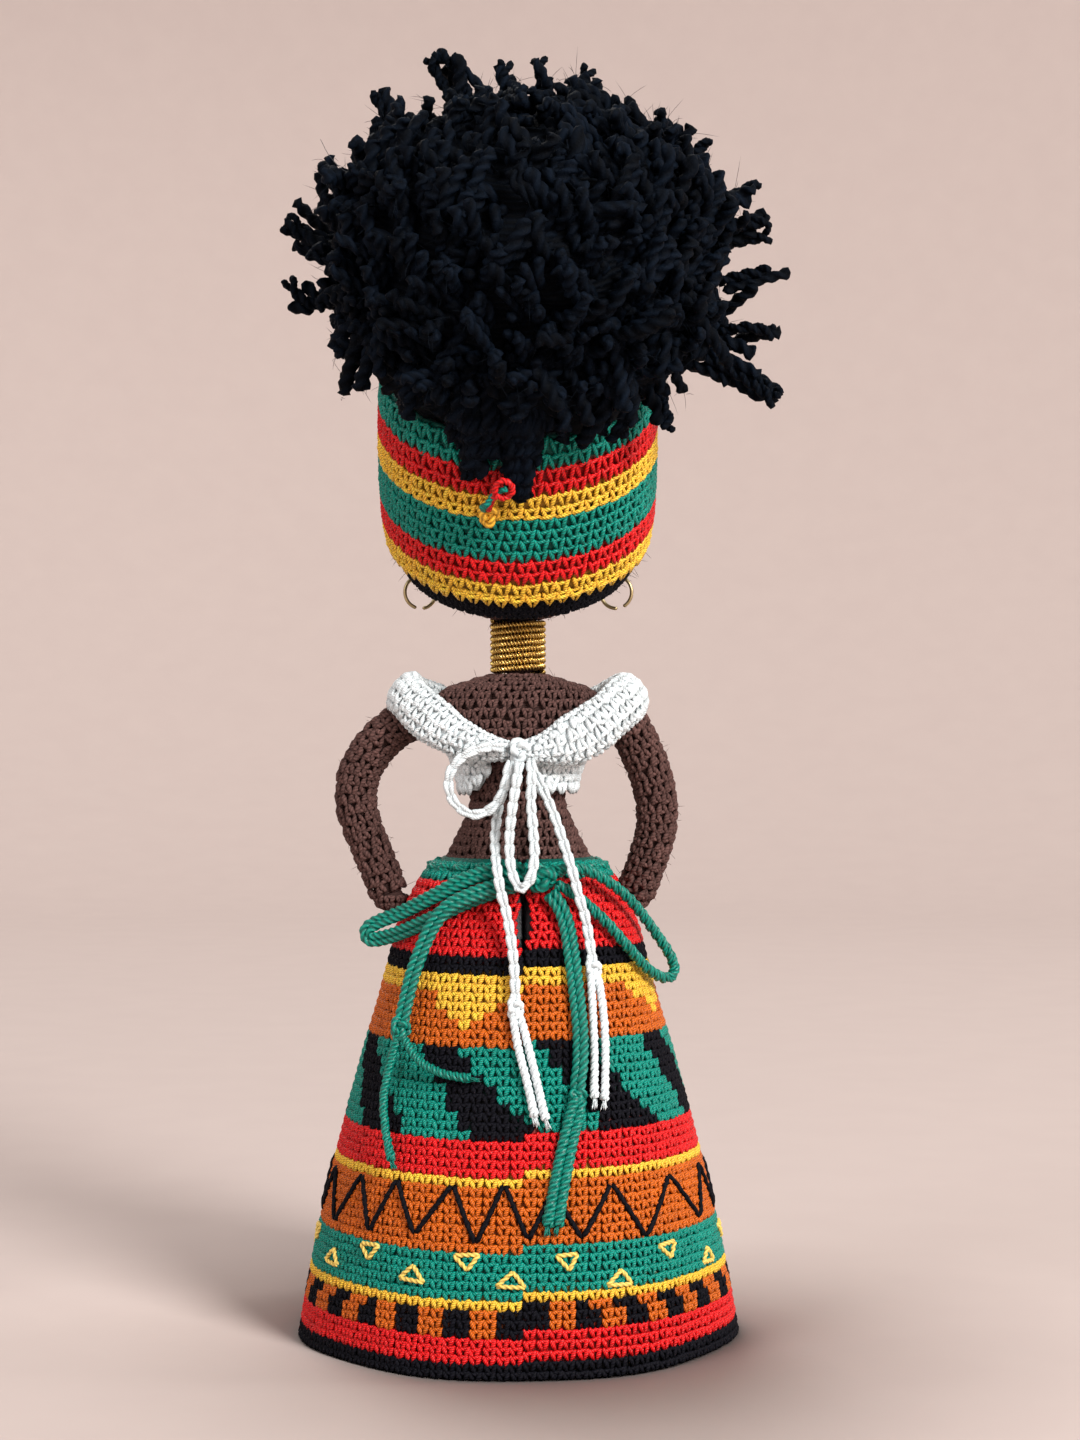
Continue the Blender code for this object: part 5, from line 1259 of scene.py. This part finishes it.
# Skirt: a stiff bell of cotton, worked in one spiral from the hem up, in bands with worked-in motifs. A slit at
# the top of the back lets it over the shoulders, and the jog of the spiral shows beside it.
HEM_RADIUS = 0.0323
SKIRT_HEIGHT = 0.0705
SKIRT_WALL = 0.0012
SKIRT_WAVE = 0.0004
SKIRT_ROUND = 0.00125
SKIRT_ROUNDS = 56
SKIRT_STITCH = 0.00185
SEAM = 1.5
SLIT_SIDE = 0.0010
SLIT_FOOT = 0.0577
SKIRT_SHARES = (
    (0, 1), (0.113, 0.96), (0.227, 0.91), (0.369, 0.836), (0.482, 0.774), (0.596, 0.706),
    (0.695, 0.641), (0.794, 0.585), (0.851, 0.554), (0.908, 0.50), (0.955, 0.445), (1, 0.36),
)
ORANGE = (0.58, 0.115, 0.006)
SKIRT_BANDS = (
    (0, BLACK), (2, RED), (5, ORANGE), (8, YELLOW), (9, GREEN), (14, ORANGE), (21, YELLOW), (22, RED),
    (26, GREEN), (36, ORANGE), (42, YELLOW), (44, BLACK), (46, RED), (54, GREEN),
)


def skirt_place(turn, height, inset=0.0002):
    """The bell: its profile's radius, flattened to an oval towards the waist, with seven shallow waves."""
    shares, radii = zip(*SKIRT_SHARES)
    wide = HEM_RADIUS * np.interp(height / SKIRT_HEIGHT, shares, radii)
    t = np.clip((height / SKIRT_HEIGHT - 0.70) / 0.30, 0, 1)
    deep = wide * (1 - 0.16 * t * t * (3 - 2 * t))
    wave = SKIRT_WAVE * np.clip(1 - height / SKIRT_HEIGHT, 0, 1) ** 2
    swell = 1 + wave / HEM_RADIUS * np.cos(7 * turn + 1)
    return np.stack(np.broadcast_arrays(
        (wide - inset) * np.cos(turn) * swell, (deep - inset) * np.sin(turn) * swell, height), -1)


def near(value, period, half):
    """Where a value lies within half of a whole number of periods."""
    return np.abs((value + period / 2) % period - period / 2) < half


def skirt_tint(round_number, swing):
    """The yarn at a round, counted from the hem, and a swing in degrees from the back's middle.

    Bands by round; then black blocks, slanting black bolts over green and yellow steps over orange, each
    repeated at its own period.
    """
    starts, tints = zip(*SKIRT_BANDS)
    tint = np.array(tints)[np.searchsorted(starts, round_number, side="right") - 1]
    from_seam = (swing - SEAM) % 360
    block = (round_number >= 5) & (round_number < 8) & near(from_seam - 2.1, 13.69, 3.42)
    tint[block] = BLACK
    climb = np.clip((round_number - 26) / 9, 0, 1)
    bolt = (round_number >= 26) & (round_number < 36)
    bolt &= near(swing - (17 + 23 * (1 - climb)), 45, 8.0 + 3.0 * (1 - climb))
    tint[bolt] = BLACK
    step = (round_number >= 38) & (round_number < 42)
    step &= near(swing + 19, 90, 3.0 + 5.2 * (round_number - 38))
    tint[step] = YELLOW
    return tint


rng = np.random.default_rng(21)
SLIT_ROUND = 46


def round_place(turn, number):
    """The skirt's surface at the middle of a round."""
    return skirt_place(turn, (number + 0.5) * SKIRT_ROUND)


# Half the slit's width at each round from its foot up: open as a leaf, and drawn together by the cord above.
SLIT_HALVES = (0.0004, 0.0008, 0.0011, 0.0012, 0.0010, 0.0007, 0.0004, 0.0002, 0.0002, 0.0002)
SLIT_REACH = 0.017
slit_turn = math.asin(SLIT_SIDE / SLIT_REACH) - math.pi / 2
below = spots(round_place, np.arange(SLIT_ROUND), SKIRT_STITCH)
beside = spots(round_place, np.arange(SLIT_ROUND, SKIRT_ROUNDS), SKIRT_STITCH,
               arc=(slit_turn, slit_turn + 2 * math.pi))
from_slit = (beside["turn"] - slit_turn + math.pi) % (2 * math.pi) - math.pi
pushed = np.array(SLIT_HALVES)[beside["row"]] / SLIT_REACH * np.sign(from_slit) * np.exp(-np.abs(from_slit) / 0.3)
beside["turn"] = slit_turn + from_slit + pushed
beside["row"] = beside["row"] + SLIT_ROUND
skirt_table = {name: np.concatenate([below[name], beside[name]]) for name in below}
swing = np.degrees((skirt_table["turn"] + 1.5 * math.pi) % (2 * math.pi) - math.pi)
fade = np.clip(np.minimum(skirt_table["row"] / 4, (SKIRT_ROUNDS - 1 - skirt_table["row"]) / 4), 0, 1)
spiral = fade * (0.5 - ((swing - SEAM) % 360) / 360)
rounds = skirt_table["row"] + 0.5 + spiral
skirt_table = spot_table(lambda turn, at: skirt_place(turn, at * SKIRT_ROUND), skirt_table["turn"], rounds,
                         skirt_table["row"], skirt_table["width"], np.ones(len(rounds)))
tints = skirt_tint(skirt_table["row"], swing)


def chosen(table, mask):
    """The rows of a stitch table that a mask keeps."""
    return {name: column[mask] for name, column in table.items()}


def skirt_ground(low, high, rows=44, sides=240):
    """The bell's wall under the stitches: a closed ring of its outside and inside, carried from one edge of the
    slit round to the other. Below the slit the two edges meet."""
    levels = np.linspace(low, high, rows)
    middle_levels = SLIT_FOOT + SKIRT_ROUND * (np.arange(len(SLIT_HALVES)) + 0.5)
    half = 0.00001 + 1.15 * np.interp(levels, middle_levels, SLIT_HALVES) * (levels > SLIT_FOOT)
    middle = slit_turn
    reach = HEM_RADIUS * np.interp(levels / SKIRT_HEIGHT, *zip(*SKIRT_SHARES))
    share = np.linspace(0, 1, sides)[:, None]
    turn = middle + half / reach + share * (2 * math.pi - 2 * half / reach)
    outer = skirt_place(turn, levels[None], 0.00038)
    inner = skirt_place(turn, levels[None], SKIRT_WALL)
    rings = np.concatenate([outer, inner[:, ::-1]], 1)
    swing = np.degrees((turn + 1.5 * math.pi) % (2 * math.pi) - math.pi)
    number = np.floor(levels[None] / SKIRT_ROUND - 0.5 + ((swing - SEAM) % 360) / 360).astype(int)
    # The wall is tinted at about half the stitches' yarn as painted shade under them.
    tint = 0.55 * skirt_tint(np.clip(number, 0, SKIRT_ROUNDS - 1), swing)
    # Both edges of the slit are painted black as painted shadow in the slit.
    edge = np.zeros(tint.shape[:2], bool)
    edge[[0, 1, -2, -1]] = levels > SLIT_FOOT
    tint[edge] = BLACK
    return skinned(rings[None], rings[[0, -1]].mean(1)[None], np.concatenate([tint, tint[:, ::-1]], 1)[None])


lower = skirt_table["row"] < 26
hem_turn = 2 * math.pi * (np.arange(118) + 0.5) / 118
hem_start = skirt_place(hem_turn, 0.0011, -0.0001)
hem_end = skirt_place(hem_turn + 0.035, 0.0001, 0.0007)
hem_share = np.array([0, 0.15, 0.5, 0.85, 1])[:, None]
hem_paths = hem_start[:, None] * (1 - hem_share) + hem_end[:, None] * hem_share
hem_paths[..., 2] = np.maximum(hem_paths[..., 2] - 0.0002 * np.sin(math.pi * hem_share[:, 0]), 0.0003)
hem_edge = sweep(hem_paths, (0, 0, -1), np.full(5, 0.00042), np.full(5, 0.00028), 6, BLACK, pitch=0.0012)
dark = np.all(tints == BLACK, 1)
for name, mask in (("skirt_lower", lower & ~dark), ("skirt_upper", ~lower & ~dark)):
    placed(name, crochet(chosen(skirt_table, mask), tints[mask], 0.00028, rng), cotton,
           ["skirt"] if name == "skirt_lower" else [])
skirt_black = joined(crochet(chosen(skirt_table, dark), BLACK, 0.00028, rng), hem_edge)
skirt_black[0][:, 2] = np.maximum(skirt_black[0][:, 2], 0.0001)
placed("skirt_black", skirt_black, black_yarn)
placed("skirt_wall", skirt_ground(0.0002, SKIRT_HEIGHT), cotton)

# Embroidery on the skirt: a black zigzag of straight stitches over the orange band, and small open triangles in
# yellow over the green one. Both go all round, a little uneven.
ZIGZAG_THREAD = 0.00036
TRIANGLE_THREAD = 0.00030
ZIGZAG = (-11.1, -3.6, 3.3, 10.7, 18.3, 28.9, 38.5, 52.6, 66.0)
TRIANGLES = np.concatenate([[-28.8, -13.3, -1.1, 13.9, 28.5, 46.5, 66.0], np.arange(84, 320, 16.5)])


def sewn(starts, ends, thickness, tint, sag=0.0, lift=0.00095, points=16):
    """Straight stitches: from one place on the skirt to another, given as swing and height, dipping at the ends."""
    share = np.linspace(0, 1, points)[None, :, None]
    flat = starts[:, None] * (1 - share) + ends[:, None] * share
    turn = np.radians(flat[..., 0] - 90)
    proud = lift * np.clip(np.sin(math.pi * share[..., 0]) * 4, 0, 1)
    paths = skirt_place(turn, flat[..., 1])
    out = unit(paths * (1, 1, 0) + (0, 0, 0.35 * HEM_RADIUS))
    paths = paths + out * (proud - 0.0003)[..., None]
    return sweep(paths, out, thickness, thickness, 8, tint, 2, 0.2, 0.0018)


rng = np.random.default_rng(22)
turns = np.concatenate([ZIGZAG, np.linspace(ZIGZAG[-1], 360 + ZIGZAG[0], 33)[1:-1] + rng.normal(0, 0.6, 31)])
rises = np.where(np.arange(len(turns)) % 2, 0.0258, 0.0181) + rng.normal(0, 0.0003, len(turns))
line = np.stack([turns, rises], -1)
line = np.concatenate([line, line[:1] + (360, 0)])
placed("zigzag", sewn(line[:-1], line[1:], ZIGZAG_THREAD, BLACK), black_yarn)
flip = np.where(np.arange(len(TRIANGLES)) % 2, 1, -1)
middle = np.stack([TRIANGLES, 0.0142 + 0.0012 * flip + rng.normal(0, 0.0003, len(TRIANGLES))], -1)
corners = [middle + np.stack([x * (1 + rng.normal(0, 0.12, len(flip))), y * flip], -1)
           for x, y in ((-3.6, 0.0008), (3.6, 0.0010), (0.3, -0.0011))]
placed("triangles", sewn(np.concatenate(corners), np.concatenate(corners[1:] + corners[:1]), TRIANGLE_THREAD,
                         (0.80, 0.56, 0.12)), satin_yarn)

# Drawstring: a cord of several green strands round the top of the skirt, tied in a bow over the slit, with
# long loops and tails that end in knots and loose strands.
GREEN_CORD = 0.0014
GREEN_KNOT = (0.0034, -0.0147, 0.0681)
CORD_GREEN = (0.0, 0.225, 0.165)
GREEN_LOOP_LEFT = (
    (0.0013, -0.0146, 0.0689), (-0.0020, -0.0143, 0.0693), (-0.0070, -0.0135, 0.0680),
    (-0.0120, -0.0117, 0.0654), (-0.0168, -0.0086, 0.0628), (-0.0205, -0.0066, 0.0612),
    (-0.0222, -0.0062, 0.0600), (-0.0218, -0.0062, 0.0586), (-0.0196, -0.0071, 0.0589),
    (-0.0162, -0.0096, 0.0602), (-0.0118, -0.0127, 0.0624), (-0.0070, -0.0140, 0.0647),
    (-0.0020, -0.0144, 0.0665), (0.0012, -0.0147, 0.0673),
)
GREEN_LOOP_RIGHT = (
    (0.0055, -0.0143, 0.0690), (0.0085, -0.0133, 0.0695), (0.0125, -0.0110, 0.0678),
    (0.0165, -0.0083, 0.0645), (0.0203, -0.0048, 0.0595), (0.0228, -0.0032, 0.0556),
    (0.0232, -0.0034, 0.0533), (0.0217, -0.0048, 0.0527), (0.0190, -0.0090, 0.0545),
    (0.0160, -0.0119, 0.0580), (0.0130, -0.0131, 0.0615), (0.0095, -0.0139, 0.0647),
    (0.0056, -0.0150, 0.0674),
)
GREEN_TAIL_LEFT = (
    (0.0016, -0.0164, 0.0678), (-0.0020, -0.0163, 0.0672), (-0.0062, -0.0161, 0.0659),
    (-0.0098, -0.0157, 0.0641), (-0.0120, -0.0154, 0.0615), (-0.0136, -0.0157, 0.0582),
    (-0.0149, -0.0163, 0.0546), (-0.0157, -0.0168, 0.0515), (-0.0163, -0.0172, 0.0488),
)
GREEN_TAIL_RIGHT = (
    (0.0046, -0.0151, 0.0661), (0.0062, -0.0156, 0.0640), (0.0072, -0.0165, 0.0612),
    (0.0079, -0.0183, 0.0570), (0.0085, -0.0199, 0.0520), (0.0090, -0.0213, 0.0470),
    (0.0090, -0.0228, 0.0425), (0.0087, -0.0234, 0.0402),
)
GREEN_ENDS = {
    "green_left": (GREEN_TAIL_LEFT, (-0.0167, -0.0176, 0.0467),
                   ((-0.0172, -0.0177, 0.0450), (-0.0182, -0.0179, 0.0415), (-0.0190, -0.0187, 0.0370),
                    (-0.0186, -0.0203, 0.0325), (-0.0176, -0.0221, 0.0285)),
                   ((-0.0159, -0.0183, 0.0451), (-0.0138, -0.0203, 0.0425), (-0.0104, -0.0225, 0.0410),
                    (-0.0064, -0.0241, 0.0405))),
    "green_right": (GREEN_TAIL_RIGHT, (0.0086, -0.0239, 0.0383),
                    ((0.0079, -0.0244, 0.0367), (0.0066, -0.0258, 0.0320), (0.0054, -0.0272, 0.0265),
                     (0.0043, -0.0289, 0.0205)),
                    ((0.0090, -0.0241, 0.0365), (0.0079, -0.0256, 0.0320), (0.0068, -0.0270, 0.0265),
                     (0.0057, -0.0286, 0.0205))),
}


def fine_path(route):
    """A cord's route, read close enough for its twist."""
    path = smooth(route, 12)
    return even(path, max(60, int(lengths(path)[-1] / 0.00026)))


def plied(route, tint, rng):
    """A cord of three strands that lie round each other."""
    return strand_bundle(fine_path(route), (0, -1, 0.2), 0.00042, 3, 0.00042, 0.0052, tint, rng)


def pair(route, tint, rng):
    """Two plied strands that run side by side, with hardly a turn."""
    return strand_bundle(fine_path(route), (0, -1, 0.2), 0.00052, 2, 0.00060, 0.4, tint, rng, sides=12)


green_cotton = yarn("green_cotton", plies=3, rough=0.36, painted_groove_shade=0.68, fibre=0.2, gloss=0.35)
GREEN_KNOTS = {"green_left": (0.0014, 0.0011, 0.0018), "green_right": (0.0012, 0.0009, 0.0008)}
GREEN_THREADS = {"green_left": 0.00034, "green_right": 0.00044}
rng = np.random.default_rng(23)
placed("green_tie", knot_shape(GREEN_KNOT, (0.0021, 0.0016, 0.0018), 0.00075, CORD_GREEN), green_cotton,
       ["green_knot"])
for name, route, worked in (("green_loop_left", GREEN_LOOP_LEFT, pair), ("green_loop_right", GREEN_LOOP_RIGHT, plied)):
    made = placed(f"{name}_strands", worked(route, CORD_GREEN, rng), green_cotton, [name])
    declared(even(smooth(route, 12), 50))
for name, ends in GREEN_ENDS.items():
    tail(name, ends, pair, GREEN_KNOTS[name], GREEN_THREADS[name], CORD_GREEN, green_cotton, rng)
string_height = SKIRT_HEIGHT - GREEN_CORD
string_turn = np.linspace(-math.pi / 2 + 0.31, 3 * math.pi / 2 + 0.10, 220)
string_out = skirt_place(string_turn, string_height - 0.0003, 0.0006)
weave = 0.00075 * np.cos(22 * string_turn)
string = string_out + unit(string_out * (1, 1, 0)) * weave[:, None]
string[:, 2] = string_height
placed("waist_string", strand_bundle(string, (0, 0, 1), 0.00036, 3, 0.00036, 0.0088, CORD_GREEN, rng),
       green_cotton, ["waist_cord"])
